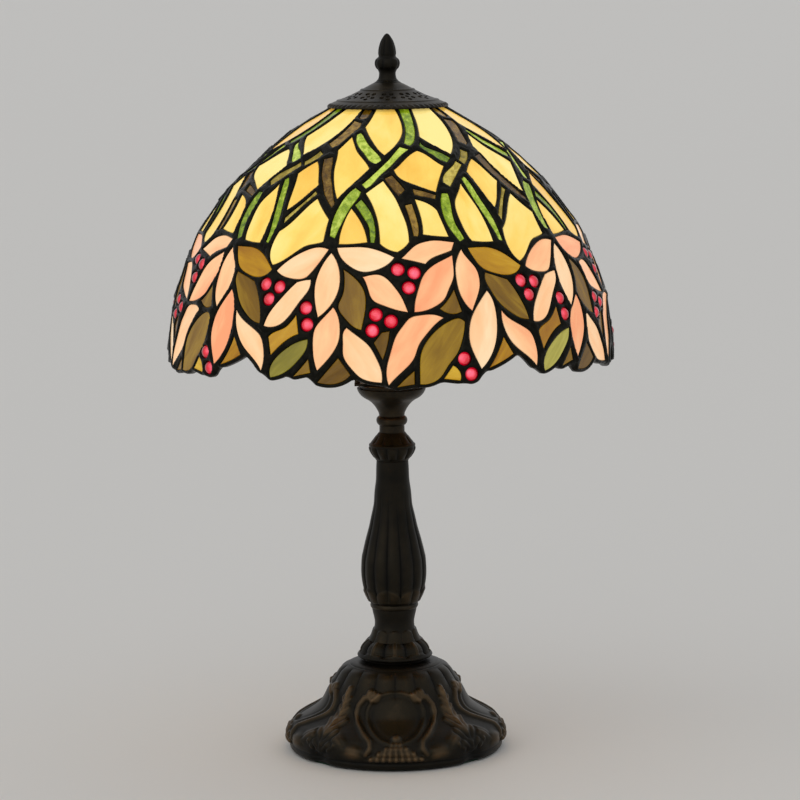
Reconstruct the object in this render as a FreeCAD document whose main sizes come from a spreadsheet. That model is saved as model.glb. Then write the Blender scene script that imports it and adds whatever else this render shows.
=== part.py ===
import FreeCAD, Part
import Sketcher
import math
import os
import re
from bisect import bisect_left

from FreeCAD import Vector

# Stained glass table lamp.
# Frame: +Z up, origin on the table under the middle of the foot, -Y is the front.
# All sizes in millimetres.

os.makedirs("parts", exist_ok=True)
document = FreeCAD.newDocument("StainedGlassLamp")

UP = Vector(0, 0, 1)
ORIGIN = Vector(0, 0, 0)

# ---------------------------------------------------------------- driving sizes

DRIVING_SIZES = {
    # foot
    "base_radius": 73.3,
    "base_bottom": 1,
    "base_top": 59,
    "wall": 4,
    "pad_radius": 68.5,
    "pad_height": 2,
    "weight_radius": 53,
    "weight_bottom": 12,
    "weight_height": 12,
    "inlet_level": 7.5,
    "inlet_radius": 5,
    "inlet_bore": 3.75,
    # threaded pipe and its hardware
    "pipe_bottom": 4,
    "pipe_top": 258,
    "pipe_radius": 5,
    "pipe_bore": 3.5,
    "bore_gap": 0.15,
    "pipe_nut_flats": 16,
    # column, from the foot upwards
    "collar_level": 59,
    "spindle_level": 75,
    "ring_level": 97.5,
    "vase_level": 101,
    "knop_level": 199.5,
    "neck_level": 218.7,
    "cup_level": 232,
    "cup_radius": 23.4,
    "cup_height": 17,
    "deck_level": 249,
    "deck_radius": 21,
    # socket
    "socket_level": 256,
    "socket_radius": 17.5,
    "socket_height": 56,
    "socket_wall": 0.6,
    "knob_level": 281,
    "spindle_radius": 3,
    "knob_radius": 5.5,
    # harp and the stack that holds the shade
    "saddle_level": 251,
    "harp_foot": 23,
    "harp_half_width": 51,
    "harp_wire_radius": 1.9,
    "harp_top": 431,
    "stud_radius": 3.1,
    "seat_level": 435.4,
    "seat_height": 1.6,
    "shade_hole": 3.3,
    # bulb
    "bulb_radius": 30,
    "bulb_top": 396,
    "cap_radius": 13.1,
    # shade
    "dome_radius": 150,
    "dome_rim_level": 261,
    "dome_rise": 189.8,
    "dome_round_power": 1.397,
    "dome_height_power": 2.292,
    "glass_thickness": 3,
    "lead_thickness": 4,
    "lead_proud": 0.5,
    "window_gap": 0.3,
    "berry_radius": 4.3,
    "crown_radius": 40.6,
    "crown_level": 438.5,
    "crown_height": 16.4,
    "crown_wall": 1.3,
    "crown_holes": 12,
    "crown_hole_radius": 1.5,
    "finial_level": 456,
    "finial_height": 31.5,
}

sizes = document.addObject("Spreadsheet::Sheet", "Sizes")
for row, (alias, amount) in enumerate(DRIVING_SIZES.items(), start=1):
    sizes.set("A%d" % row, alias.replace("_", " "))
    sizes.set("B%d" % row, str(amount))
    sizes.setAlias("B%d" % row, alias)
document.recompute()

sub_parts = {}


def bound(text):
    """The expression with each size's name pointed at the sheet."""
    return re.sub(r"\b[a-z][a-z_]+\b(?!\()", lambda word: "Sizes." + word.group(0), str(text))


def amount_of(text):
    """What an expression comes to now, as a plain number."""
    return float(sizes.evalExpression(bound(text)))


def keep(label, item, level=None):
    """Names a finished sub-part and, where asked, lifts it to its level."""
    item.Label = label
    if level is not None:
        item.setExpression("Placement.Base.z", bound(level))
    sub_parts[label] = item
    return item


# ---------------------------------------------------------------- makers

def cylinder(name, radius, height, level="0", side="0", depth="0"):
    """A plain upright cylinder whose sizes and place come from the sheet."""
    item = document.addObject("Part::Cylinder", name)
    item.setExpression("Radius", bound(radius))
    item.setExpression("Height", bound(height))
    item.setExpression("Placement.Base.x", bound(side))
    item.setExpression("Placement.Base.y", bound(depth))
    item.setExpression("Placement.Base.z", bound(level))
    return item


def cut(name, base, tool):
    item = document.addObject("Part::Cut", name)
    item.Base = base
    item.Tool = tool
    return item


def fuse(name, items):
    item = document.addObject("Part::MultiFuse", name)
    item.Shapes = items
    return item


def washer(label, outer, hole, height, level):
    """A flat ring round the lamp's axis."""
    disc = cylinder(label + "_disc", outer, height)
    drill = cylinder(label + "_drill", hole, height + " + 2", level="-1")
    return keep(label, cut(label, disc, drill), level)


def hex_nut(label, flats, height, hole, level):
    """A hexagon nut with a round bore."""
    prism = document.addObject("Part::Prism", label + "_prism")
    prism.Polygon = 6
    prism.setExpression("Circumradius", bound("(%s) / sqrt(3)" % flats))
    prism.setExpression("Height", bound(height))
    drill = cylinder(label + "_drill", hole, height + " + 2", level="-1")
    return keep(label, cut(label, prism, drill), level)


def origin_plane(body, role):
    for feature in body.Origin.OriginFeatures:
        if feature.Role == role:
            return feature
    raise ValueError(role)


def new_sketch(body, name, role):
    sketch = body.newObject("Sketcher::SketchObject", name)
    sketch.AttachmentSupport = (origin_plane(body, role), [""])
    sketch.MapMode = "FlatFace"
    return sketch


def turned(label, start, stretches, level=None):
    """A body turned round the lamp's axis.

    The half outline starts at one corner and goes round. Each stretch is a list of
    the next (radius, height) points: one point makes a straight line, more points
    make one smooth curve through them. Every corner is bound to the sheet.
    """
    body = document.addObject("PartDesign::Body", label)
    sketch = new_sketch(body, label + "_outline", "XZ_Plane")
    corners = [start] + [stretch[-1] for stretch in stretches]
    here = start
    for stretch in stretches:
        points = [Vector(amount_of(r), amount_of(z), 0) for r, z in [here] + stretch]
        if len(points) == 2:
            sketch.addGeometry(Part.LineSegment(points[0], points[1]), False)
        else:
            curve = Part.BSplineCurve()
            curve.interpolate(Points=points)
            sketch.addGeometry(curve, False)
        here = stretch[-1]
    first, last = (Vector(amount_of(r), amount_of(z), 0) for r, z in (corners[0], corners[-1]))
    sketch.addGeometry(Part.LineSegment(last, first), False)
    count = len(stretches) + 1
    for index in range(count):
        following = (index + 1) % count
        sketch.addConstraint(Sketcher.Constraint("Coincident", index, 2, following, 1))
    for index, (radius, height) in enumerate(corners):
        for kind, text in (("DistanceX", radius), ("DistanceY", height)):
            number = sketch.addConstraint(
                Sketcher.Constraint(kind, -1, 1, index, 1, amount_of(text)))
            if re.search("[a-z]", str(text)):
                sketch.setExpression("Constraints[%d]" % number, bound(text))
    revolution = body.newObject("PartDesign::Revolution", label + "_turn")
    revolution.Profile = sketch
    revolution.ReferenceAxis = (sketch, ["V_Axis"])
    revolution.Angle = 360
    document.recompute()
    return keep(label, body, level)


def rounded_path(corners, radius):
    """Straight runs joined by tangent arcs of one radius."""
    edges = []
    here = corners[0]
    for before, corner, after in zip(corners, corners[1:], corners[2:]):
        inward = (before - corner).normalize()
        outward = (after - corner).normalize()
        half_turn = inward.getAngle(outward) / 2
        setback = radius / math.tan(half_turn)
        first = corner + inward * setback
        last = corner + outward * setback
        middle_way = (inward + outward).normalize()
        centre = corner + middle_way * (radius / math.sin(half_turn))
        middle = centre - middle_way * radius
        edges.append(Part.LineSegment(here, first).toShape())
        edges.append(Part.Arc(first, middle, last).toShape())
        here = last
    edges.append(Part.LineSegment(here, corners[-1]).toShape())
    return Part.Wire(edges)


def feature(label, shape, level=None):
    """A sub-part whose shape is made by Part's own functions."""
    item = document.addObject("Part::Feature", label)
    item.Shape = shape
    return keep(label, item, level)


# ---------------------------------------------------------------- foot

BORE = "pipe_radius + bore_gap"


def make_foot():
    outer_edge = [
        ("base_radius - 0.4", 2.9), ("base_radius", 7), ("base_radius", 11.3),
        ("base_radius - 2.4", 17), ("base_radius - 4.8", 19.7)]
    flank = [
        ("base_radius - 8.9", 22.4), ("base_radius - 13.7", 25), ("base_radius - 18.5", 28),
        ("base_radius - 22", 31), ("base_radius - 25.1", 36), ("base_radius - 27.8", 42),
        ("base_radius - 31.2", 47.5), ("base_radius - 37.1", 56),
        ("base_radius - 41.3", "base_top")]
    hollow = [
        ("base_radius - 40", "base_top - wall - 2"), ("base_radius - 34", 46),
        ("base_radius - 29.5", 36), ("base_radius - 24", 28), ("base_radius - 15.5", 22),
        ("base_radius - 9", 17), ("base_radius - 4.6", 11), ("base_radius - 4.4", "base_bottom")]
    body = turned(
        "base_casting", ("base_radius - 1.7", "base_bottom"),
        [outer_edge, flank, [(BORE, "base_top")],
         [(BORE, "weight_bottom + weight_height")], [(11, "weight_bottom + weight_height")],
         [(11, "base_top - wall - 2")], [("base_radius - 47", "base_top - wall - 2")],
         hollow])
    # the cord's way in goes through the back of the rim
    sketch = new_sketch(body, "inlet_outline", "XZ_Plane")
    sketch.addGeometry(Part.Circle(Vector(0, amount_of("inlet_level"), 0), UP,
                                   amount_of("inlet_radius")), False)
    sketch.addConstraint(Sketcher.Constraint("PointOnObject", 0, 3, -2))
    sketch.addConstraint(
        Sketcher.Constraint("DistanceY", -1, 1, 0, 3, amount_of("inlet_level")))
    sketch.setExpression("Constraints[1]", bound("inlet_level"))
    sketch.addConstraint(Sketcher.Constraint("Radius", 0, amount_of("inlet_radius")))
    sketch.setExpression("Constraints[2]", bound("inlet_radius"))
    whole = body.Shape.Volume
    pocket = body.newObject("PartDesign::Pocket", "inlet_hole")
    pocket.Profile = sketch
    pocket.setExpression("Length", bound("base_radius + 5"))
    document.recompute()
    rim = Vector(0, amount_of("base_radius") - 2, amount_of("inlet_level"))
    if body.Shape.Volume >= whole or body.Shape.isInside(rim, 0.01, True):
        raise ValueError("the inlet hole missed the back of the rim")

    washer("base_pad", "pad_radius", "3", "pad_height", "0")
    washer("base_weight", "weight_radius", BORE, "weight_height", "weight_bottom")
    washer("weight_washer", "12", BORE, "1.6", "weight_bottom - 1.6")
    hex_nut("lower_pipe_nut", "pipe_nut_flats", "4.4", BORE, "weight_bottom - 6")
    washer("threaded_pipe", "pipe_radius", "pipe_bore", "pipe_top - pipe_bottom",
           "pipe_bottom")

    # flanged sleeve that lines the cord's way in, lying along Y
    barrel = cylinder("inlet_barrel", "inlet_radius", "9")
    flange = cylinder("inlet_flange", "inlet_radius + 1.2", "1.4", level="9")
    bore = cylinder("inlet_bore_tool", "inlet_bore", "14", level="-1")
    bushing = cut("cord_inlet_bushing", fuse("inlet_solid", [barrel, flange]), bore)
    bushing.Placement = FreeCAD.Placement(
        Vector(0, amount_of("base_radius - 8.5"), amount_of("inlet_level")),
        FreeCAD.Rotation(Vector(1, 0, 0), -90))
    bushing.setExpression("Placement.Base.y", bound("base_radius - 8.5"))
    keep("cord_inlet_bushing", bushing)


# ---------------------------------------------------------------- column

def make_column():
    turned("leaf_collar", (BORE, 0), [
        [("base_radius - 42.5", 0)],
        [(28, 2.4), (25.6, 5), (24.9, 8), (22.9, 11), (20.8, 13.6), (17.8, 16)],
        [(BORE, 16)]], "collar_level")
    turned("lower_spindle", (BORE, 0), [
        [(17.4, 0)],
        [(15.7, 3), (14.7, 6), (13.7, 9), (13.6, 14), (14.3, 17), (15.4, 22.5)],
        [(BORE, "ring_level - spindle_level")]], "spindle_level")
    turned("column_ring", (BORE, 0), [
        [(15.6, 0)],
        [(16.4, 1.75), (15.8, 3.5)],
        [(BORE, "vase_level - ring_level")]], "ring_level")
    turned("fluted_vase", (BORE, 0), [
        [(16.4, 0)],
        [(19.8, 7.6), (21.5, 13), (22.5, 21.5), (22.1, 30), (19.1, 43.5), (15, 60),
         (12.6, 76.5), (11.3, 90), (10.9, 98.5)],
        [(BORE, "knop_level - vase_level")]], "vase_level")
    turned("knop", (BORE, 0), [
        [(11.2, 0)],
        [(14.6, 5.5), (15.7, 9), (14.8, 12.3), (11, 16.5), (8.8, 19.2)],
        [(BORE, "neck_level - knop_level")]], "knop_level")
    turned("upper_neck", (BORE, 0), [
        [(8.6, 0)], [(8.5, 4.6)],
        [(10.4, 7), (10.4, 9.2), (8.6, 11)],
        [(8.9, "cup_level - neck_level")],
        [(BORE, "cup_level - neck_level")]], "neck_level")
    turned("socket_cup", (BORE, 0), [
        [(9, 0)],
        [(10.5, 3), (15.6, 8.6), (19.6, 11), (22.3, 14), ("cup_radius", "cup_height")],
        [("cup_radius - 1.6", "cup_height")],
        [(20, 14.4), (14.8, 10.6), (9, 4.5)],
        [(BORE, 4.5)]], "cup_level")
    washer("cup_deck", "deck_radius", BORE, "2", "deck_level")


# ---------------------------------------------------------------- harp

def make_harp():
    foot = amount_of("harp_foot")
    wide = amount_of("harp_half_width")
    wire = amount_of("harp_wire_radius")
    top = amount_of("harp_top")
    deck = amount_of("saddle_level")
    # bent strip: flat under the socket, with an upright tongue at each end
    strip = Part.makeBox(2 * foot + 4, 14, 1.6, Vector(-foot - 2, -7, 0))
    drill = Part.makeCylinder(amount_of(BORE), 4, Vector(0, 0, -1))
    pegs = [Part.makeCylinder(wire, 9, Vector(side * foot, 0, 1.6)) for side in (-1, 1)]
    saddle = strip.cut(drill).fuse(pegs).removeSplitter()
    feature("harp_saddle", saddle, "saddle_level")
    foot_level = deck + 1.6 + 9
    corners = [
        Vector(-foot, 0, foot_level), Vector(-foot, 0, foot_level + 16),
        Vector(-wide, 0, 322), Vector(-wide, 0, 392), Vector(-24, 0, top), Vector(24, 0, top),
        Vector(wide, 0, 392), Vector(wide, 0, 322), Vector(foot, 0, foot_level + 16),
        Vector(foot, 0, foot_level)]
    spine = rounded_path(corners, 12)
    section = Part.Wire([Part.makeCircle(wire, corners[0], UP)])
    harp = spine.makePipeShell([section], True, False)
    expected = math.pi * wire * wire * spine.Length
    if abs(harp.Volume - expected) > 0.02 * expected:
        raise ValueError("the harp's wire came out wrong")
    feature("harp", harp)
    # the two sleeves that lock the harp to its saddle
    sleeves = []
    for side in (-1, 1):
        centre = Vector(side * foot, 0, foot_level - 5)
        outer = Part.makeCylinder(wire + 1.4, 13, centre)
        sleeves.append(outer.cut(Part.makeCylinder(wire + 0.05, 13, centre)))
    feature("harp_sleeves", Part.makeCompound(sleeves))
    # swivel plate on the harp's top bar, with the stud that carries the shade
    turned("harp_stud", (0, 0), [
        [(6.5, 0)], [(6.5, "seat_level - harp_top - harp_wire_radius")],
        [("stud_radius", "seat_level - harp_top - harp_wire_radius")],
        [("stud_radius", "471 - harp_top - harp_wire_radius")],
        [(0, "471 - harp_top - harp_wire_radius")]], "harp_top + harp_wire_radius")
    washer("seat_washer", "8", "stud_radius + 0.08", "seat_height", "seat_level + 0.05")
    hex_nut("upper_pipe_nut", "pipe_nut_flats", "3.2", BORE, "saddle_level + 1.6")


# ---------------------------------------------------------------- socket and switch

def shell_with_knob_hole(label, radius, wall, bottom, height):
    """An upright sleeve with the round hole that the switch's spindle passes through."""
    tube_outer = cylinder(label + "_outer", radius, height, level=bottom)
    tube_inner = cylinder(label + "_inner", "%s - %s" % (radius, wall), height + " + 2",
                          level=bottom + " - 1")
    hole = cylinder(label + "_hole", "spindle_radius + 0.1", "40", level="knob_level")
    hole.Placement = FreeCAD.Placement(Vector(0, 0, amount_of("knob_level")),
                                       FreeCAD.Rotation(Vector(1, 0, 0), 90))
    hole.setExpression("Placement.Base.z", bound("knob_level"))
    tube = cut(label + "_tube", tube_outer, tube_inner)
    return keep(label, cut(label, tube, hole))


def make_socket():
    turned("socket_cap", (BORE, 0), [
        [(9, 0)],
        [(13.5, 2.5), (16.4, 8), ("socket_radius - 0.1", 16)],
        [("socket_radius - 1.1", 16)],
        [(15, 8.5), (12.6, 3.9), (9, 1.6)],
        [(BORE, 1.6)]], "socket_level")
    shell_with_knob_hole("socket_shell", "socket_radius", "socket_wall",
                         "socket_level + 16.2", "socket_height - 16.2")
    shell_with_knob_hole("socket_insulating_sleeve", "(socket_radius - socket_wall - 0.05)",
                         "0.8", "socket_level + 16.4", "socket_height - 18")
    block = cylinder("block_solid", "14", "13", level="socket_level + 17")
    hole = cylinder("block_hole", "spindle_radius + 0.1", "40", level="knob_level")
    hole.Placement = FreeCAD.Placement(Vector(0, 0, amount_of("knob_level")),
                                       FreeCAD.Rotation(Vector(1, 0, 0), 90))
    hole.setExpression("Placement.Base.z", bound("knob_level"))
    keep("switch_block", cut("switch_block", block, hole))
    washer("bulb_screw_shell", "cap_radius + 0.55", "cap_radius + 0.1", "24",
           "socket_level + 30")
    keep("centre_contact", cylinder("centre_contact", "3", "1.2", level="socket_level + 30"))

    # turn switch: a spindle into the block and a ribbed knob outside the shell, to the front
    spindle = cylinder("switch_spindle_rod", "spindle_radius", "20", level="8")
    knob = cylinder("switch_knob_disc", "knob_radius", "9", level="21")
    ribs = []
    rib_count = 12
    for index in range(rib_count):
        turn = 2 * math.pi * index / rib_count
        rib = cylinder("knob_rib_%d" % index, "0.7", "9", level="21",
                       side="knob_radius * %.5f" % math.cos(turn),
                       depth="knob_radius * %.5f" % math.sin(turn))
        ribs.append(rib)
    laid = FreeCAD.Placement(Vector(0, 0, amount_of("knob_level")),
                             FreeCAD.Rotation(Vector(1, 0, 0), 90))
    keep("switch_spindle", spindle)
    switch_knob = cut("switch_knob", fuse("knob_with_ribs", [knob] + ribs),
                      cylinder("knob_bore", "spindle_radius", "9", level="20"))
    keep("switch_knob", switch_knob)
    switch_knob.Placement = laid
    switch_knob.setExpression("Placement.Base.z", bound("knob_level"))
    for axis in "xyz":
        spindle.setExpression("Placement.Base." + axis, None)
    spindle.Placement = FreeCAD.Placement(Vector(0, -8, amount_of("knob_level")),
                                          FreeCAD.Rotation(Vector(1, 0, 0), 90))
    spindle.setExpression("Placement.Base.z", bound("knob_level"))


# ---------------------------------------------------------------- bulb

def make_bulb():
    turned("bulb_glass", (12.2, 0), [
        [(13.5, 5), (18, 22), (26, 36), ("bulb_radius", 51), (28.2, 62), (21.5, 73),
         (12, 79.3), (0, "bulb_top - 314.6")],
        [(0, "bulb_top - 315.6")],
        [(11.8, 78.4), (20.8, 72.3), (27.3, 61.8), ("bulb_radius - 1", 51), (25.1, 36.4),
         (17.1, 22.4), (12.6, 5.2), (11.4, 0)]], "314.6")
    turned("bulb_cap", (0, 0), [
        [(4, 0)], [(9, 3)], [("cap_radius", 4)], [("cap_radius", 25)], [(12.4, 26.8)],
        [(11.4, 26.8)], [(11.4, 6)], [(0, 6)]], "287.8")
    # mount inside the bulb: glass stem, two leads and the filament between them
    stem = Part.makeCylinder(4, 35.2, Vector(0, 0, 293.8))
    leads = []
    for side in (-1, 1):
        foot = Vector(side * 2.2, 0, 329)
        head = Vector(side * 13, 0, 362)
        leads.append(Part.makeCylinder(0.5, (head - foot).Length + 1, foot, head - foot))
    filament = Part.makeCylinder(0.8, 25.4, Vector(-12.7, 0, 362), Vector(1, 0, 0))
    feature("bulb_filament_mount", stem.fuse(leads + [filament]))


# ---------------------------------------------------------------- dome of the shade

DRAWN_TURN = 74.3
REPEATS = 5
TRUE_TURN = 360 / REPEATS
PROFILE_STEP = 0.1


def dome_profile():
    """Arc length, radius and height of the shade's outer face, from the rim upwards."""
    radius = amount_of("dome_radius")
    rise = amount_of("dome_rise")
    rim = amount_of("dome_rim_level")
    round_power = amount_of("dome_round_power")
    height_power = amount_of("dome_height_power")
    lengths, radii, heights = [], [], []
    length = 0
    steps = int(rise * 0.9999 / PROFILE_STEP)
    for step in range(steps + 1):
        height = step * PROFILE_STEP
        across = radius * (1 - (height / rise) ** height_power) ** (1 / round_power)
        if step:
            length += math.hypot(across - radii[-1], PROFILE_STEP)
        lengths.append(length)
        radii.append(across)
        heights.append(rim + height)
    return lengths, radii, heights


LENGTHS, RADII, HEIGHTS = dome_profile()


def meridian(length):
    """Radius and height at an arc length up from the rim level."""
    place = min(max(bisect_left(LENGTHS, length), 1), len(LENGTHS) - 1)
    span = LENGTHS[place] - LENGTHS[place - 1]
    share = (length - LENGTHS[place - 1]) / span
    radius = RADII[place - 1] + share * (RADII[place] - RADII[place - 1])
    height = HEIGHTS[place - 1] + share * (HEIGHTS[place] - HEIGHTS[place - 1])
    return radius, height


def meridian_normal(length):
    """Outward direction (across, up) of the shade at an arc length."""
    low = meridian(length - 0.5)
    high = meridian(length + 0.5)
    across = high[1] - low[1]
    up = low[0] - high[0]
    size = math.hypot(across, up)
    return across / size, up / size


def dome_point(angle, length, depth=0):
    """A point on the shade, or depth inside it. The angle is in degrees from the front."""
    radius, height = meridian(length)
    across, up = meridian_normal(length)
    radius -= depth * across
    height -= depth * up
    turn = math.radians(angle)
    return Vector(radius * math.sin(turn), -radius * math.cos(turn), height)


def dome_normal(angle, length):
    across, up = meridian_normal(length)
    turn = math.radians(angle)
    return Vector(across * math.sin(turn), -across * math.cos(turn), up)


# Outlines of one repeat of the pattern. Each piece of glass is a ring of strokes, and a
# stroke is a smooth line that runs to the next stroke's first point. A point is
# (drawn angle, arc length up the dome): DRAWN_TURN drawn degrees make one repeat.

PINK_PETAL = [
    # left petal of the large flower
    [
        [(-33.2, 81.6), (-30, 89.6), (-26, 95.4), (-22.5, 98.2)],
        [(-18, 96.8), (-20.3, 88.6), (-22.5, 81.4), (-23.8, 78.2), (-27.9, 77), (-31.4, 78.9)],
    ],
    # right petal of the large flower
    [
        [(-15.5, 98.2), (-11.9, 98.9), (-7.1, 98.9), (-3, 96.4)],
        [(1.3, 91.4), (-1, 86.4), (-3.3, 83.9), (-7.9, 82.5), (-11.1, 85.7), (-14, 91.4)],
    ],
    # petal that hangs from the large flower
    [
        [(-17.1, 94.6), (-15.2, 88.6), (-14, 79.3), (-14.1, 70), (-15.2, 62.9)],
        [(-19, 52.1), (-20.2, 61.4), (-20.8, 73.6), (-20, 82.9), (-18.3, 91)],
    ],
    # petal under it
    [
        [(-15.1, 58.9), (-13.7, 52.9), (-13.2, 46.4), (-13.4, 37.9), (-14.9, 30)],
        [(-18.8, 18.6), (-19.8, 26.4), (-20.2, 35.7), (-19.8, 45), (-18.2, 50.7)],
    ],
    # low petal beside the green corner
    [
        [(-11.3, 45.9), (-7.9, 39.6), (-5.5, 34.3), (-3.8, 27.1), (-2.6, 20)],
        [(-2.4, 11.4), (-4.6, 12), (-7.5, 14.3), (-9.8, 19.6),
         (-12.1, 28.6), (-12.2, 35.7), (-11.9, 44.3)],
    ],
    # petal left of the berries
    [
        [(-7.5, 78.6), (-5.2, 80), (-2.8, 80), (-0.9, 77.5), (1, 72.5), (2.8, 66.1), (3.9, 60)],
        [(4.5, 55.6), (1.3, 57.5), (-1.9, 60.4), (-4.5, 63.6), (-6, 71.4)],
    ],
    # petal right of the berries
    [
        [(18.1, 91.8), (14.4, 88.2), (11.8, 85), (9, 78.2), (7.8, 71.4), (6.7, 63.6)],
        [(6.2, 55.4), (9.4, 56.6), (12.6, 60), (14.5, 63.6), (16, 70), (17.6, 77.1), (18, 83.6)],
    ],
    # upper left petal of the small flower
    [
        [(3.3, 90.6), (5.6, 95.7), (7.9, 100), (10.5, 102.1), (13.2, 102.9), (16.4, 102.1)],
        [(19.4, 100.7)],
        [(18.2, 95.4), (14.5, 92.9), (11.8, 90.4)],
        [(10.1, 87), (7.5, 88.6)],
    ],
    # petal that hangs from the small flower
    [
        [(21.2, 95.7), (23, 88.6), (24.9, 81.4), (25.2, 77.1), (25, 71.4), (23.8, 64.3)],
        [(21.7, 54.9), (19.9, 60.7), (18.9, 67.1), (18.5, 75.7), (18.8, 85), (20.2, 92.5)],
    ],
    # petal under it
    [
        [(26.6, 67.4), (28, 61.4), (28.6, 52.9), (28.5, 43.6), (27.7, 34.3), (26.2, 26.4)],
        [(23.1, 17.9), (21.6, 26.4), (20.5, 35.7), (20.6, 42.9), (21.4, 50), (23.1, 57.1)],
    ],
    # slanting petal
    [
        [(30, 54.3), (33, 47.5), (36.9, 42.1), (38.7, 38.5), (39.8, 32.1), (40.2, 24.3)],
        [(39.6, 16.9), (36.4, 25), (33, 32.1), (30.6, 42.1)],
    ],
    # long low petal
    [
        [(13.7, 51.4), (11, 53.7), (8.1, 53.6), (4.9, 51.6),
         (3.5, 47.9), (1.4, 40.7), (0, 30.7), (-1, 22.1)],
        [(-0.7, 9.6), (2.6, 17.9), (5.9, 27.1), (7, 34.3), (9.1, 41.4), (11.3, 47.1)],
    ],
    # petal left of the large flower
    [
        [(-22.1, 76.4), (-24.6, 75.7)],
        [(-26.3, 74.6), (-28.7, 68.9), (-30.7, 63.2), (-32.8, 56.4)],
        [(-34.5, 45.4), (-31.9, 45.1), (-30, 46.8), (-27.4, 52.9), (-24.4, 63.6), (-22.6, 69.3)],
    ],
]
OLIVE_LEAF = [
    # leaf under the large flower
    [
        [(-13, 83.6), (-10.7, 80), (-8.7, 75.7), (-6.9, 68.6), (-6.5, 61.4), (-6.8, 53.6)],
        [(-7.5, 44.6), (-9.4, 46.4), (-11.9, 52.1), (-13.8, 59.3), (-12.9, 66.4), (-12.5, 75)],
    ],
    # large low leaf
    [
        [(19.4, 48.2), (17.9, 50.6), (15.5, 49.3), (12.1, 44.3), (9.5, 37.9), (7.9, 31.4), (7.2, 21.4)],
        [(7.1, 10), (9.9, 10.4), (12.4, 13.9), (14.5, 21.1), (16.8, 27.9), (18.3, 35.7), (19.1, 42.9)],
    ],
    # leaf under the amber leaf
    [
        [(27.1, 79.3), (29.6, 77.5)],
        [(33.9, 73.9), (35.6, 67.9), (37.1, 60), (38, 53.6)],
        [(38.4, 46.8), (35.6, 48.6), (32.9, 52.9), (29.9, 60), (28, 67.9), (26.9, 73.6)],
    ],
    # filler D1
    [
        [(-2.3, 43)],
        [(-0.3, 43.8), (-0.8, 36)],
        [(-2.1, 25.8)],
        [(-4.3, 36.5)],
    ],
    # filler D3
    [
        [(5.8, 18.5)],
        [(5.8, 10)],
        [(1.4, 8.3), (3.5, 13.5)],
    ],
    # filler D5
    [
        [(17.3, 69.3)],
        [(18.9, 55), (17, 53.6)],
        [(13, 57.3), (15.3, 62.5)],
    ],
    # filler D6
    [
        [(-13.4, 26.8)],
        [(-10.2, 16.1), (-12.5, 11.8), (-16, 10)],
        [(-18.8, 11.1), (-16, 19.3)],
    ],
    # filler E3
    [
        [(-21.3, 25.7)],
        [(-20.7, 17.1)],
        [(-25.3, 14.3), (-23, 20.7)],
    ],
]
GREEN_LEAF = [
    # low green leaf
    [
        [(-21.5, 38.2), (-24.9, 35.7), (-28.2, 30.7), (-30.9, 24.3), (-32.1, 18.6)],
        [(-31.9, 12.9), (-29.5, 14.6), (-26.5, 18.9), (-24, 25), (-22.2, 30.7)],
    ],
]
AMBER_LEAF = [
    # amber leaf of the small flower
    [
        [(23.3, 96.4), (27.2, 96.8), (30.2, 96.4), (33.9, 93.2), (36.9, 87.9)],
        [(39.4, 82.2), (37.3, 78), (33.1, 77.1), (30.2, 78.9), (26.9, 82.5), (24.8, 88.9)],
    ],
    # filler D4
    [
        [(15.7, 21), (16.8, 19), (17.6, 15.7)],
        [(17.5, 11.3)],
        [(13.3, 12.9)],
    ],
    # filler E2
    [
        [(-25.2, 53.2)],
        [(-24.3, 41.4), (-26.8, 38.6), (-30.6, 30.7)],
        [(-31.9, 27.1)],
        [(-33, 38.6), (-31.4, 41.8), (-28.4, 45), (-26.4, 49.6)],
    ],
    # filler B5
    [
        [(30, 37.1)],
        [(32.6, 25.9), (29.6, 22.1)],
        [(25.4, 18.2), (28, 27.1)],
    ],
]
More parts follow.
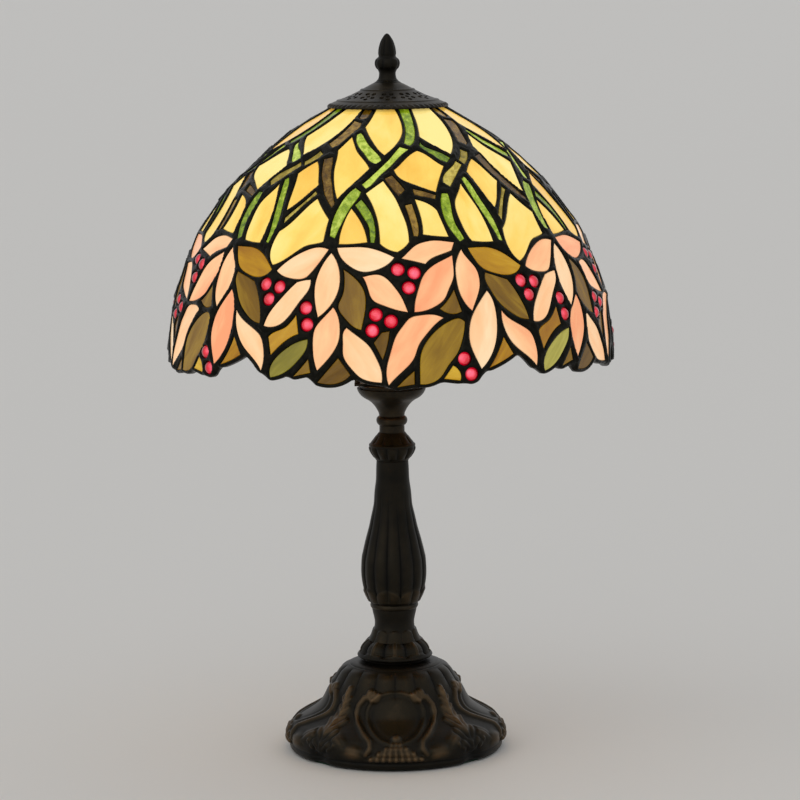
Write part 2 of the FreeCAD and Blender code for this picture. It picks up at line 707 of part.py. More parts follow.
VINE_GREEN = [
    # wide vine at the crown
    [
        [(11, 224.3), (11.8, 218), (12.1, 211.3), (12.1, 203), (11, 194.7), (9.9, 189.3)],
        [(8.4, 182.6)],
        [(11, 180), (13.5, 183.4), (15.6, 189.7), (17.5, 197.2), (19.1, 206.3), (20.5, 214.7)],
        [(21.8, 223.8)],
    ],
    # slanting vine
    [
        [(5.9, 179.3)],
        [(10.1, 176.3), (5.1, 170.5), (0.2, 161.3), (-4.1, 153), (-7.1, 144.7)],
        [(-8.6, 142.2)],
        [(-10.3, 145.5), (-6.8, 153.8), (-3, 162.2), (0.2, 168.4), (3.2, 174.7)],
    ],
    # vine down to the large flower
    [
        [(-12.5, 143)],
        [(-10.2, 139.7), (-11.1, 135.1), (-12.9, 129.3), (-14.4, 122.2), (-15.7, 113.8)],
        [(-16.7, 104.7)],
        [(-18.4, 106.3), (-18.6, 113), (-18.4, 120.5), (-17.4, 128.8), (-15.7, 136.3)],
    ],
    # its short branch
    [
        [(-11.7, 129.5)],
        [(-9.8, 133.8), (-7.4, 128), (-5.5, 121.3), (-4.6, 113.8), (-4.3, 106.3)],
        [(-4.6, 101.8)],
        [(-5.6, 101.8), (-6, 107.2), (-6.5, 113.8), (-8.2, 119.7), (-10, 125.1)],
    ],
    # branch under the crown
    [
        [(-19.1, 192.6)],
        [(-17.1, 194.3), (-16, 193), (-12.5, 186.3), (-7.9, 178), (-4.4, 171.3)],
        [(-3.3, 166.8)],
        [(-5.5, 163.8), (-8.2, 166.3), (-11.4, 173), (-16, 181.3)],
    ],
    # vine down to the small flower
    [
        [(19.4, 137.6)],
        [(21.6, 137.2), (21.7, 130.9), (21.3, 122.2), (21.6, 113), (22.6, 106.8)],
        [(23, 103)],
        [(21.4, 101.2), (19.8, 108), (18.6, 114.7), (18, 123), (18.2, 130.9)],
    ],
    # branch to the long vine
    [
        [(16.4, 180.5)],
        [(17.5, 183.8), (20, 178.8), (23.9, 175.5), (28, 170.5)],
        [(29.4, 167.6)],
        [(26.9, 163.8), (24.5, 165.9), (21, 172.2), (18, 176.8)],
    ],
    # vine to the amber leaf
    [
        [(29.5, 148.4)],
        [(31, 150.1), (32.6, 144.7), (33.5, 137.2), (34.8, 126.3), (35.7, 117.2), (35.8, 108)],
        [(35.6, 99.7)],
        [(34.5, 100.5), (34.1, 108.8), (33.1, 118), (31.8, 128.8), (30.6, 138.8)],
    ],
]
VINE_BROWN = [
    # upper brown twig
    [
        [(-1.7, 150.9)],
        [(1.3, 153.8), (4, 147.2)],
        [(5.9, 141.3)],
        [(3.5, 136.3), (1.3, 142.2)],
    ],
    # lower brown twig
    [
        [(5.4, 129)],
        [(7.8, 130.1), (8.5, 123.8), (9, 117.2), (9.1, 109.7)],
        [(8.6, 105.9)],
        [(7.4, 106.3), (7, 113.8), (6.3, 122.2)],
    ],
    # level brown twig
    [
        [(8.8, 142), (12.7, 140)],
        [(17, 136.5)],
        [(16.5, 133.5), (12.5, 135.6)],
        [(9.2, 137.2)],
    ],
    # long vine, top
    [
        [(-24.7, 223)],
        [(-16.8, 222.2), (-16.7, 217.2)],
        [(-17.9, 211.3), (-20.6, 210)],
        [(-24.5, 212.5), (-24.7, 218)],
    ],
    # long vine, bend
    [
        [(-26.5, 208)],
        [(-19.8, 205.5), (-20.3, 199.7), (-22.5, 195.1), (-24.4, 190.5)],
        [(-27.6, 181.3)],
        [(-30, 178.8)],
        [(-33.6, 182.6), (-31.4, 188.8), (-29, 197.2)],
    ],
    # brown branch
    [
        [(-30.9, 167.6)],
        [(-26.8, 169.7), (-25.5, 162.2), (-24.5, 154.7), (-22.7, 147.2), (-20.9, 138.8)],
        [(-19, 129.7)],
        [(-19.6, 126.8), (-22.5, 133.8), (-24.6, 139.7), (-26.5, 147.2), (-28.7, 154.7), (-30, 162.2)],
    ],
]
VINE_OLIVE = [
    # long vine, middle
    [
        [(-41, 165), (-38.4, 169.7)],
        [(-36, 175.5)],
        [(-33, 172.2), (-35.7, 166.3)],
        [(-39.5, 161.3)],
    ],
    # long vine, lower
    [
        [(21.5, 146.3), (23.4, 153.8), (27.2, 158.8)],
        [(31.3, 164.5)],
        [(33.3, 161), (29.9, 155.5), (26.4, 148.8)],
        [(23.5, 142.8)],
    ],
    # thin branch
    [
        [(-27.9, 140)],
        [(-26.8, 137.6), (-30, 131.3), (-33, 123), (-34.9, 117.2)],
        [(-35.7, 114.5)],
        [(-36.1, 118.8), (-34.4, 123.8), (-31.4, 131.3), (-29, 137.2)],
    ],
]
CREAM = [
    # background 1
    [
        [(-11.7, 224), (-2.6, 224)],
        [(6.4, 224), (8.3, 218.8), (9.5, 211.3), (9.7, 203), (9, 196.3), (7.2, 189.7), (2.9, 179.7)],
        [(-1.8, 170.5), (-4.1, 174.7), (-7.9, 183.8), (-11.9, 193)],
        [(-15.8, 201.8), (-14.1, 209.7), (-13, 216.3)],
    ],
    # background 2
    [
        [(26, 223.5), (36.7, 223.6)],
        [(47.5, 223.8), (46.3, 216), (44.9, 207), (42.1, 196.5), (38.9, 187), (34.6, 177.5)],
        [(30.2, 170), (26.9, 176.3), (22.9, 182.2)],
        [(18.7, 189.5), (20.3, 197.2), (22.3, 206.3), (23.8, 215.5)],
    ],
    # background 3
    [
        [(-21.4, 189.3), (-19, 183.8), (-16, 176.3), (-11.9, 168.8)],
        [(-8.3, 159.7), (-11.4, 153), (-14.4, 145.9), (-17, 138.5)],
        [(-18.4, 133.4), (-20.6, 142.2), (-22.5, 151.3), (-24, 160.5), (-24.9, 169.7)],
        [(-26.1, 176.8), (-23.8, 183.4)],
    ],
    # background 4
    [
        [(14.3, 175.7), (16.7, 173.8), (19.9, 168.8)],
        [(24.3, 160.5), (21.8, 154.3), (19.7, 148)],
        [(17.3, 138.7), (14, 141.8), (10.1, 145.5), (7, 148)],
        [(2.2, 158), (5.2, 163.4), (8.9, 170.1)],
    ],
    # background 5
    [
        [(-2.2, 148.2), (-4.9, 144.3)],
        [(-8.4, 138.4), (-6.3, 132.2), (-4.8, 125.5), (-3.6, 117.2), (-3, 108)],
        [(-2.8, 101.3), (-1, 97.9)],
        [(2.2, 95), (4.3, 98.2)],
        [(5.8, 102.1), (5.8, 108), (5.3, 116.3), (4.1, 124.7), (2.1, 135.5), (0, 142.2)],
    ],
    # background 6
    [
        [(9.1, 133.4), (12.4, 131.3), (15.1, 127.6)],
        [(16.2, 124.7), (16.8, 118.8), (17.5, 111.3)],
        [(18.1, 104.8), (14, 105.9)],
        [(10.3, 107.2), (10.4, 119.7), (9.8, 127.2)],
    ],
    # background 7
    [
        [(-12.8, 126.8), (-10.9, 122.2), (-8.6, 114.7), (-7.2, 107.2)],
        [(-6.7, 102.2), (-10.6, 101.3)],
        [(-15.2, 100.9), (-15.3, 107.2), (-14.9, 113.8), (-14.1, 120.5)],
    ],
    # background 8
    [
        [(-25.9, 133.8), (-29.2, 127.2), (-32.2, 118.8)],
        [(-36.5, 109), (-37.3, 99.3), (-37.1, 93.6)],
        [(-34.9, 85), (-31.7, 89.3), (-28.6, 95.4), (-25.6, 100), (-22.5, 101.4)],
        [(-20.3, 102.6), (-20.2, 111.3)],
        [(-19.9, 118.5), (-22.5, 124.7)],
    ],
    # background 9
    [
        [(-33.8, 165.5), (-31.1, 158.8), (-29.2, 150.5)],
        [(-27.9, 145.3), (-30.6, 138.8), (-33, 132.2)],
        [(-36.5, 124.3), (-37.4, 131.3), (-38.2, 139.7), (-39.2, 148)],
        [(-40.4, 154.5), (-37.9, 159.7)],
    ],
    # background 10
    [
        [(28.1, 144.7), (29.6, 136.3), (31.2, 126.3), (32, 117.2)],
        [(32.3, 99.7), (28, 100.3)],
        [(25.3, 101.3), (24.1, 108), (23.5, 115.5), (23.1, 123)],
        [(23.3, 128.8), (25, 135.5), (27.2, 141.3)],
    ],
]

# Middles of the berries in one repeat, (drawn angle, arc length).
BERRIES = [
    (2.2, 83.6), (6.7, 81.1), (5, 71.4),
    (-3.8, 54.3), (0.1, 50), (-4.7, 44.3),
    (18.7, 25), (20.5, 15),
    (38.3, 72.5), (42.9, 71.1), (40.1, 62.9),
    (-22.7, 58.2), (-22, 47.5),
]

# Where one repeat of the lead meets the last one, from the crown down to the lower edge.
SEAM = [
    (-25.75, 226), (-26.3, 215), (-28, 207.2), (-30.6, 196.8), (-33, 189), (-35.4, 182.3),
    (-38.4, 175.5), (-41.3, 168.5), (-42, 165), (-40.3, 161.1), (-41.9, 154.6),
    (-40.6, 147), (-39.6, 139), (-38.5, 130), (-37.6, 122), (-37.3, 116), (-37.7, 107),
    (-38.2, 99), (-38.7, 94), (-36.8, 88), (-35.4, 84.8), (-34.05, 81.9), (-31.3, 77.3),
    (-28.8, 75.4), (-28.45, 72.3), (-29.2, 69), (-30.5, 65.6), (-31.65, 62.2),
    (-34.3, 56.5), (-35.2, 46.1), (-34.8, 42), (-33.6, 33), (-33.1, 24.5), (-33.4, 17),
    (-33.3, 10.2),
]

# The wavy lower edge of the lead, along one repeat.
LOWER_EDGE = [
    (-33.3, 10.2), (-31.5, 11.1), (-29, 12.6), (-26.5, 12), (-22.1, 12.5), (-20.6, 10.7),
    (-18.2, 8.9), (-15.5, 8.2), (-12.5, 9.6), (-9.5, 12), (-5, 9.6), (-2.5, 7.6),
    (1.3, 6.6), (4, 6.4), (7, 7.4), (9.9, 8.4), (12.9, 9.9), (16, 9.3), (18.9, 8.9),
    (21.6, 10.1), (22.8, 12.5), (24, 14.6), (28, 17), (30.4, 19.3), (32.6, 21.6),
    (35.6, 18.5), (37.8, 14.6), (41, 10.2),
]


def true_angle(drawn):
    return drawn * TRUE_TURN / DRAWN_TURN


def flat_place(points):
    """The middle and the normal of the flat that suits points on the dome."""
    middle = Vector(0, 0, 0)
    normal = Vector(0, 0, 0)
    for angle, length in points:
        middle += dome_point(angle, length)
        normal += dome_normal(angle, length)
    normal.normalize()
    return middle / len(points), normal


def glass_prism(strokes, turn):
    """One flat cut piece of glass, its outer face on the chord plane of the dome."""
    middle, normal = flat_place(
        [(true_angle(a) + turn, s) for stroke in strokes for a, s in stroke])
    edges = []
    for index, stroke in enumerate(strokes):
        ends = stroke + [strokes[(index + 1) % len(strokes)][0]]
        places = []
        for drawn, length in ends:
            place = dome_point(true_angle(drawn) + turn, length)
            places.append(place - normal * (place - middle).dot(normal))
        if len(places) == 2:
            edges.append(Part.LineSegment(places[0], places[1]).toShape())
        else:
            curve = Part.BSplineCurve()
            curve.interpolate(Points=places)
            edges.append(curve.toShape())
    face = Part.Face(Part.Wire(edges))
    return face.extrude(normal * -amount_of("glass_thickness"))


def make_glass(label, outlines):
    pieces = []
    for repeat in range(REPEATS):
        for strokes in outlines:
            pieces.append(glass_prism(strokes, repeat * TRUE_TURN))
    feature(label, Part.makeCompound(pieces))


def berry_solid(radius, thickness):
    """A cabochon on its back: a short round shank with a low dome on it."""
    dome = 2.4
    foot = Vector(0, 0, 0)
    edge = Vector(radius, 0, 0)
    shoulder = Vector(radius, 0, thickness - 0.4)
    crown = Vector(0, 0, thickness - 0.4 + dome)
    ball = (radius * radius + dome * dome) / (2 * dome)
    half_way = math.atan2(radius, ball - dome) / 2
    middle = Vector(ball * math.sin(half_way), 0,
                    crown.z - ball + ball * math.cos(half_way))
    outline = Part.Wire([
        Part.LineSegment(foot, edge).toShape(), Part.LineSegment(edge, shoulder).toShape(),
        Part.Arc(shoulder, middle, crown).toShape(), Part.LineSegment(crown, foot).toShape()])
    return Part.Face(outline).revolve(ORIGIN, UP, 360)


def make_berries():
    thickness = amount_of("glass_thickness")
    solid = berry_solid(amount_of("berry_radius"), thickness)
    berries = []
    for repeat in range(REPEATS):
        for drawn, length in BERRIES:
            angle = true_angle(drawn) + repeat * TRUE_TURN
            berry = solid.copy()
            berry.Placement = FreeCAD.Placement(
                dome_point(angle, length, thickness),
                FreeCAD.Rotation(UP, dome_normal(angle, length)))
            berries.append(berry)
    feature("berry_cabochons", Part.makeCompound(berries))


# ---------------------------------------------------------------- lead lattice

def meridian_face(depth):
    """Surface of revolution through the dome at a depth; its parameters are angle and arc."""
    step = 6
    lengths = [step * count for count in range(39)]
    points = []
    for length in lengths:
        radius, height = meridian(max(length, 0.001))
        across, up = meridian_normal(max(length, 0.6))
        points.append(Vector(0, -(radius - depth * across), height - depth * up))
    curve = Part.BSplineCurve()
    curve.interpolate(Points=points, Parameters=[float(length) for length in lengths])
    return Part.SurfaceOfRevolution(curve, ORIGIN, UP)


def flat_length(a, b):
    """Distance between two (radian, arc) points, measured along the dome."""
    radius = meridian((a[1] + b[1]) / 2)[0]
    return math.hypot((b[0] - a[0]) * radius, b[1] - a[1])


def runs_anticlockwise(strokes):
    flat = [point for stroke in strokes for point in stroke]
    area = 0
    for (ax, ay), (bx, by) in zip(flat, flat[1:] + flat[:1]):
        area += ax * by - bx * ay
    return area > 0


def lean_allowance(angle, length, outward, middle, normal):
    """Extra gap where a flat piece's side leans into the window's, which follows the dome."""
    turn = math.radians(angle)
    across, up = meridian_normal(length)
    way_round = Vector(math.cos(turn), math.sin(turn), 0)
    way_up = Vector(-up * math.sin(turn), up * math.cos(turn), across)
    lean = -normal.dot(way_round * outward.x + way_up * outward.y)
    sunk = (dome_point(angle, length) - middle).dot(normal)
    reach = min(amount_of("lead_thickness") - amount_of("lead_proud"),
                amount_of("glass_thickness") + sunk)
    return max(0, reach * lean - 0.15)


def grown(strokes, gap):
    """The strokes moved outwards by a gap, as (radian, arc) points."""
    angles = [(true_angle(a), s) for stroke in strokes for a, s in stroke]
    middle, normal = flat_place(angles)
    flat = [(math.radians(a), s) for a, s in angles]
    side = 1 if runs_anticlockwise(strokes) else -1
    moved = []
    count = len(flat)
    for index, (angle, length) in enumerate(flat):
        radius = meridian(length)[0]
        arrive = Vector((angle - flat[index - 1][0]) * radius, length - flat[index - 1][1], 0)
        following = flat[(index + 1) % count]
        leave = Vector((following[0] - angle) * radius, following[1] - length, 0)
        arrive.normalize()
        leave.normalize()
        outward = Vector(arrive.y + leave.y, -arrive.x - leave.x, 0) * side
        outward.normalize()
        corner = max(outward.dot(Vector(leave.y, -leave.x, 0) * side), 0.45)
        lean = lean_allowance(angles[index][0], length, outward, middle, normal)
        shift = (gap + lean) / corner
        moved.append((angle + outward.x * shift / radius, length + outward.y * shift))
    result = []
    for stroke in strokes:
        result.append(moved[:len(stroke)])
        moved = moved[len(stroke):]
    return result


def flat_curve(points):
    """A smooth 2-D curve, or a straight one, through (radian, arc) points."""
    places = [FreeCAD.Base.Vector2d(angle, length) for angle, length in points]
    if len(places) == 2:
        return Part.Geom2d.Line2dSegment(places[0], places[1])
    knots = [0.0]
    for a, b in zip(points, points[1:]):
        knots.append(knots[-1] + flat_length(a, b))
    curve = Part.Geom2d.BSplineCurve2d()
    curve.interpolate(Points=places, Parameters=knots)
    return curve


def ring_curves(strokes):
    curves = []
    for index, stroke in enumerate(strokes):
        curves.append(flat_curve(stroke + [strokes[(index + 1) % len(strokes)][0]]))
    return curves


def lattice_sector(outlines, outer_face, inner_face):
    """One repeat of the lead: two curved faces full of windows, joined by their edges."""
    seam = [(math.radians(true_angle(a)), s) for a, s in SEAM]
    edge = [(math.radians(true_angle(a)), s) for a, s in LOWER_EDGE]
    turn = math.radians(TRUE_TURN)
    seam_right = [(a + turn, s) for a, s in reversed(seam)]
    edge[0] = seam[-1]
    edge[-1] = seam_right[0]
    border = [
        flat_curve(seam), flat_curve(edge), flat_curve(seam_right),
        flat_curve([seam_right[-1], seam[0]])]
    rings = [border]
    turned_round = [False]
    gap = amount_of("window_gap")
    for strokes in outlines:
        rings.append(ring_curves(grown(strokes, gap)))
        turned_round.append(runs_anticlockwise(strokes))
    berry = amount_of("berry_radius") + 0.15
    for drawn, length in BERRIES:
        angle = math.radians(true_angle(drawn))
        radius = meridian(length)[0]
        around = []
        for count in range(9):
            way = math.radians(45 * count)
            around.append((angle + berry * math.cos(way) / radius,
                           length + berry * math.sin(way)))
        rings.append([flat_curve(around[:5]), flat_curve(around[4:])])
        turned_round.append(True)
    sides = []
    faces = []
    for surface in (outer_face, inner_face):
        wires = []
        for ring, reverse in zip(rings, turned_round):
            wire = Part.Wire([curve.toShape(surface) for curve in ring])
            if reverse:
                wire.reverse()
            wires.append(wire)
        face = Part.Face(surface, wires[0])
        face.cutHoles(wires[1:])
        faces.append(face)
        sides.append(wires)
    for outer_wire, inner_wire in zip(*sides):
        for outer_edge, inner_edge in zip(outer_wire.Edges, inner_wire.Edges):
            faces.append(Part.makeRuledSurface(outer_edge, inner_edge))
    shell = Part.makeShell(faces)
    shell.sewShape(0.01)
    solid = Part.makeSolid(shell.Shells[0] if shell.Shells else shell)
    if solid.Volume < 0:
        solid.reverse()
    return solid


def make_lattice(outlines):
    proud = amount_of("lead_proud")
    outer_face = meridian_face(-proud)
    inner_face = meridian_face(amount_of("lead_thickness") - proud)
    sector = lattice_sector(outlines, outer_face, inner_face)
    sectors = []
    for repeat in range(REPEATS):
        turned_sector = sector.copy()
        turned_sector.rotate(ORIGIN, UP, repeat * TRUE_TURN)
        sectors.append(turned_sector)
    feature("solder_lattice", Part.makeCompound(sectors))


# ---------------------------------------------------------------- crown and finial

def make_crown():
    radius = amount_of("crown_radius")
    body = turned("crown_cap", ("shade_hole", "crown_height"), [
        [(9.2, "crown_height")],
        [(15.4, 13.5), (19.1, 11.5), (22.5, 9.5), (27.8, 7.5), (33.5, 5.5), (37.6, 3.5),
         (39.6, 1.5)],
        [("crown_radius", 0.9)], [("crown_radius", 0)], [("crown_radius - 2.2", 0)],
        [(37, 2.3), (33, 4.3), (27.2, 6.3), (22, 8.2), (18.5, 10.1), (14.9, 12.1),
         (9.2, "crown_height - crown_wall")],
        [("shade_hole", "crown_height - crown_wall")]], "crown_level")
    # clusters of small vent holes: one in the middle of each flower and five round it
    sketch = new_sketch(body, "vent_outline", "XY_Plane")
    middle = 26.5
    hole = amount_of("crown_hole_radius")
    sketch.addGeometry(Part.Circle(Vector(middle, 0, 0), UP, hole), False)
    petals = 5
    for petal in range(petals):
        turn = 2 * math.pi * petal / petals
        centre = Vector(middle + 4 * math.cos(turn), 4 * math.sin(turn), 0)
        sketch.addGeometry(Part.Circle(centre, UP, hole), False)
    for index in range(petals + 1):
        number = sketch.addConstraint(Sketcher.Constraint("Radius", index, hole))
        sketch.setExpression("Constraints[%d]" % number, bound("crown_hole_radius"))
    pocket = body.newObject("PartDesign::Pocket", "vent_holes")
    pocket.Profile = sketch
    pocket.Reversed = True
    pocket.setExpression("Length", bound("crown_height + 2"))
    document.recompute()
    pattern = body.newObject("PartDesign::PolarPattern", "vent_ring")
    pattern.Originals = [pocket]
    pattern.Axis = (sketch, ["N_Axis"])
    pattern.Angle = 360
    pattern.setExpression("Occurrences", bound("crown_holes"))
    body.Tip = pattern
    document.recompute()

    washer("shade_top_ring", "32.7", "30.4", "5", "436.4")
    plate = cylinder("spider_plate_disc", "30.3", "1.4")
    tools = [cylinder("spider_plate_drill", "shade_hole", "4", level="-1")]
    vents = 6
    for vent in range(vents):
        turn = 2 * math.pi * vent / vents
        tools.append(cylinder("spider_vent_%d" % vent, "6", "4", level="-1",
                              side="18 * %.5f" % math.cos(turn),
                              depth="18 * %.5f" % math.sin(turn)))
    keep("spider_plate", cut("spider_plate", plate, fuse("spider_tools", tools)),
         "seat_level + seat_height + 0.1")
    washer("crown_spacer", "6", "shade_hole",
           "crown_level + crown_height - crown_wall - seat_level - seat_height - 1.5",
           "seat_level + seat_height + 1.5")
    washer("finial_washer", "8.8", "shade_hole", "0.9", "crown_level + crown_height")
    turned("finial", ("stud_radius + 0.08", 0), [
        [(7.2, 0)],
        [(7, 2), (5.6, 4.4), (5.4, 6), (6.6, 8.2), (8.4, 11), (8.1, 13.8), (6.6, 16.6),
         (5.5, 18.6)],
        [(5.5, 19)],
        [(5.7, 21), (5.3, 24.4), (3.6, 28), (1.6, 30.6), (0, "finial_height")],
        [(0, 16.5)], [("stud_radius + 0.08", 16.5)]], "finial_level")


# ---------------------------------------------------------------- build, check and write

make_foot()
make_column()
make_harp()
make_socket()
make_bulb()
GLASS = {
    "glass_cream_ground": CREAM,
    "glass_pink_petals": PINK_PETAL,
    "glass_olive_leaves": OLIVE_LEAF,
    "glass_green_leaves": GREEN_LEAF,
    "glass_amber_leaves": AMBER_LEAF,
    "glass_green_vines": VINE_GREEN,
    "glass_olive_vines": VINE_OLIVE,
    "glass_brown_vines": VINE_BROWN,
}
for glass_label, glass_outlines in GLASS.items():
    make_glass(glass_label, glass_outlines)
make_berries()
make_lattice([strokes for outlines in GLASS.values() for strokes in outlines])
make_crown()
document.recompute()

for item in document.Objects:
    if "Invalid" in item.State or "Error" in item.State:
        raise ValueError("%s failed: %s" % (item.Name, item.State))
for label, item in sub_parts.items():
    if item.Shape.isNull() or not item.Shape.isValid():
        raise ValueError(label + " has no valid shape")
for label, item in sub_parts.items():
    item.Shape.exportStep("parts/%s.step" % label)
    box = item.Shape.BoundBox
    print("%-26s %3d solids %9.1f mm3  z %.1f to %.1f" % (
        label, len(item.Shape.Solids), item.Shape.Volume, box.ZMin, box.ZMax))
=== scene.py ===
import math

import bpy
import numpy as np
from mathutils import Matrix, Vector
from mathutils.geometry import delaunay_2d_cdt
from mathutils.kdtree import KDTree


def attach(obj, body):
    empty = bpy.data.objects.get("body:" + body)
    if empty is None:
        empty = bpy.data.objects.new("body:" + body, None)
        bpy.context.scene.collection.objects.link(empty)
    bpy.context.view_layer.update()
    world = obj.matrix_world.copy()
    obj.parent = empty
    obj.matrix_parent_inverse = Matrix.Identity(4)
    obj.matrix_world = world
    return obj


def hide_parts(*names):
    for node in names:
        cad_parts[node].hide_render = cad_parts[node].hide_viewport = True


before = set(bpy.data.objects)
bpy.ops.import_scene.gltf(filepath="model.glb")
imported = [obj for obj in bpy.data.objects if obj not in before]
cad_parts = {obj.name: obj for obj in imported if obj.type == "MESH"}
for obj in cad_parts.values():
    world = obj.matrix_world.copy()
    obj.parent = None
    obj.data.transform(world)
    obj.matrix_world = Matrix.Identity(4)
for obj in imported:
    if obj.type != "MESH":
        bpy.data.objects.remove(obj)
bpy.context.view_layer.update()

MM = 0.001
REPEATS = 5
GLASS_NODES = [
    "glass_cream_ground", "glass_pink_petals", "glass_olive_leaves", "glass_green_leaves",
    "glass_amber_leaves", "glass_green_vines", "glass_olive_vines", "glass_brown_vines"]


# ---------------------------------------------------------------- camera, floor, light

CAMERA_DISTANCE, CAMERA_HEIGHT = 2.1, 0.5353
LOOK_DOWN, ROLL = 7.95, 0.75
FLOOR_HALF = 60


def make_camera():
    """From the front and a little above the finial, looking down. The roll stands for the
    lean of the lamp in the photo."""
    camera = bpy.data.objects.new("camera", bpy.data.cameras.new("camera"))
    bpy.context.scene.collection.objects.link(camera)
    camera.location = (0, -CAMERA_DISTANCE, CAMERA_HEIGHT)
    camera.rotation_euler = (math.radians(90 - LOOK_DOWN), math.radians(ROLL), 0)
    camera.data.lens = 140.7
    camera.data.sensor_width = 36
    camera.data.shift_x = 0.0176
    camera.data.shift_y = -0.003
    camera.data.clip_start = 0.05
    camera.data.clip_end = 200
    bpy.context.scene.camera = camera
    bpy.context.scene.view_settings.view_transform = "Standard"


def soft_light(name, direction, strength, softness, colour):
    """A distant light as wide in the sky as softness, in degrees, so the floor is even."""
    lamp = bpy.data.lights.new(name, "SUN")
    lamp.energy = strength
    lamp.angle = math.radians(softness)
    lamp.color = colour
    holder = bpy.data.objects.new(name, lamp)
    bpy.context.scene.collection.objects.link(holder)
    holder.location = Vector(direction) * 2
    holder.rotation_euler = (-Vector(direction)).to_track_quat("-Z", "Y").to_euler()


def make_stage():
    """A wide pale floor under an even sky with three soft lights."""
    mesh = bpy.data.meshes.new("floor")
    half = FLOOR_HALF
    mesh.from_pydata([(-half, -half, 0), (half, -half, 0), (half, half, 0), (-half, half, 0)],
                     [], [(0, 1, 2, 3)])
    floor = bpy.data.objects.new("floor", mesh)
    bpy.context.scene.collection.objects.link(floor)
    material = bpy.data.materials.new("pale_floor")
    material.use_nodes = True
    shader = material.node_tree.nodes["Principled BSDF"]
    shader.inputs["Base Color"].default_value = (0.74, 0.72, 0.68, 1)
    shader.inputs["Roughness"].default_value = 0.7
    mesh.materials.append(material)
    world = bpy.data.worlds.new("studio")
    bpy.context.scene.world = world
    world.use_nodes = True
    world.node_tree.nodes["Background"].inputs["Color"].default_value = (0.78, 0.80, 0.84, 1)
    world.node_tree.nodes["Background"].inputs["Strength"].default_value = 0.6
    soft_light("key_light", (-0.6, -0.75, 0.8), 0.6, 80, (1, 0.97, 0.92))
    soft_light("fill_light", (0.85, -0.5, 0.45), 0.2, 90, (0.93, 0.96, 1))
    soft_light("back_light", (0.25, 0.9, 0.7), 0.3, 80, (1, 0.98, 0.95))


# ---------------------------------------------------------------- materials

LEVEL_TONE = 0.25  # what the attribute 'relief' holds where there is no relief
TONE_SPAN = 4.2  # millimetres of relief from a tone of 0 to a tone of 1


def new_material(name):
    """A new material with its node tree and its shader."""
    material = bpy.data.materials.new(name)
    material.use_nodes = True
    tree = material.node_tree
    return material, tree, tree.nodes["Principled BSDF"]


def node(tree, kind, **settings):
    """A new shader node, with its inputs or its properties set by name."""
    made = tree.nodes.new(kind)
    for name, value in settings.items():
        if name in made.inputs:
            made.inputs[name].default_value = value
        else:
            setattr(made, name, value)
    return made


def ramp(tree, stops):
    """A colour ramp through (place, colour) stops."""
    made = tree.nodes.new("ShaderNodeValToRGB")
    elements = made.color_ramp.elements
    while len(elements) < len(stops):
        elements.new(0.5)
    for element, (place, colour) in zip(elements, stops):
        element.position = place
        element.color = (*colour, 1)
    return made


def linear(red, green, blue):
    """Screen colour, 0 to 255, as the linear colour a shader takes."""
    return tuple((channel / 255) ** 2.2 for channel in (red, green, blue))


def opal_glass(name, dark, middle, light, grain, run, glow, ripple):
    """Streaky opalescent sheet glass, whose own glow stands in for the bulb behind it. Its
    streaks run along each piece, in the coordinates of the sheet that the piece was cut
    from, and are run times as long as they are wide."""
    material, tree, shader = new_material(name)
    link = tree.links.new
    sheet = node(tree, "ShaderNodeAttribute", attribute_name="sheet")
    tint = node(tree, "ShaderNodeAttribute", attribute_name="tint")
    squeeze = node(tree, "ShaderNodeMapping")
    squeeze.inputs["Scale"].default_value = (1 / run, 1, 1)
    link(sheet.outputs["Vector"], squeeze.inputs["Vector"])
    streaks = node(tree, "ShaderNodeTexNoise", Scale=grain, Detail=5, Distortion=0.7)
    link(squeeze.outputs[0], streaks.inputs["Vector"])
    wisps = node(tree, "ShaderNodeTexNoise", Scale=grain * 4.1, Detail=6, Distortion=0.5)
    link(squeeze.outputs[0], wisps.inputs["Vector"])
    mixed = node(tree, "ShaderNodeMix", data_type="FLOAT")
    mixed.inputs[0].default_value = 0.3
    link(streaks.outputs[0], mixed.inputs[2])
    link(wisps.outputs[0], mixed.inputs[3])
    shade = node(tree, "ShaderNodeMath", operation="MULTIPLY_ADD")
    shade.inputs[1].default_value = 0.3
    link(tint.outputs["Fac"], shade.inputs[0])
    lowered = node(tree, "ShaderNodeMath", operation="SUBTRACT")
    lowered.inputs[1].default_value = 0.15
    link(mixed.outputs[0], lowered.inputs[0])
    link(lowered.outputs[0], shade.inputs[2])
    colours = ramp(tree, [(0.28, dark), (0.5, middle), (0.7, light)])
    link(shade.outputs[0], colours.inputs[0])
    link(colours.outputs[0], shader.inputs["Base Color"])
    link(colours.outputs[0], shader.inputs["Emission Color"])
    shader.inputs["Emission Strength"].default_value = glow
    shader.inputs["Roughness"].default_value = 0.16
    shader.inputs["IOR"].default_value = 1.5
    waves = node(tree, "ShaderNodeTexNoise", Scale=ripple, Detail=3, Distortion=0.4)
    link(squeeze.outputs[0], waves.inputs["Vector"])
    bump = node(tree, "ShaderNodeBump", Strength=0.25, Distance=0.0012)
    link(waves.outputs[0], bump.inputs["Height"])
    link(bump.outputs[0], shader.inputs["Normal"])
    return material


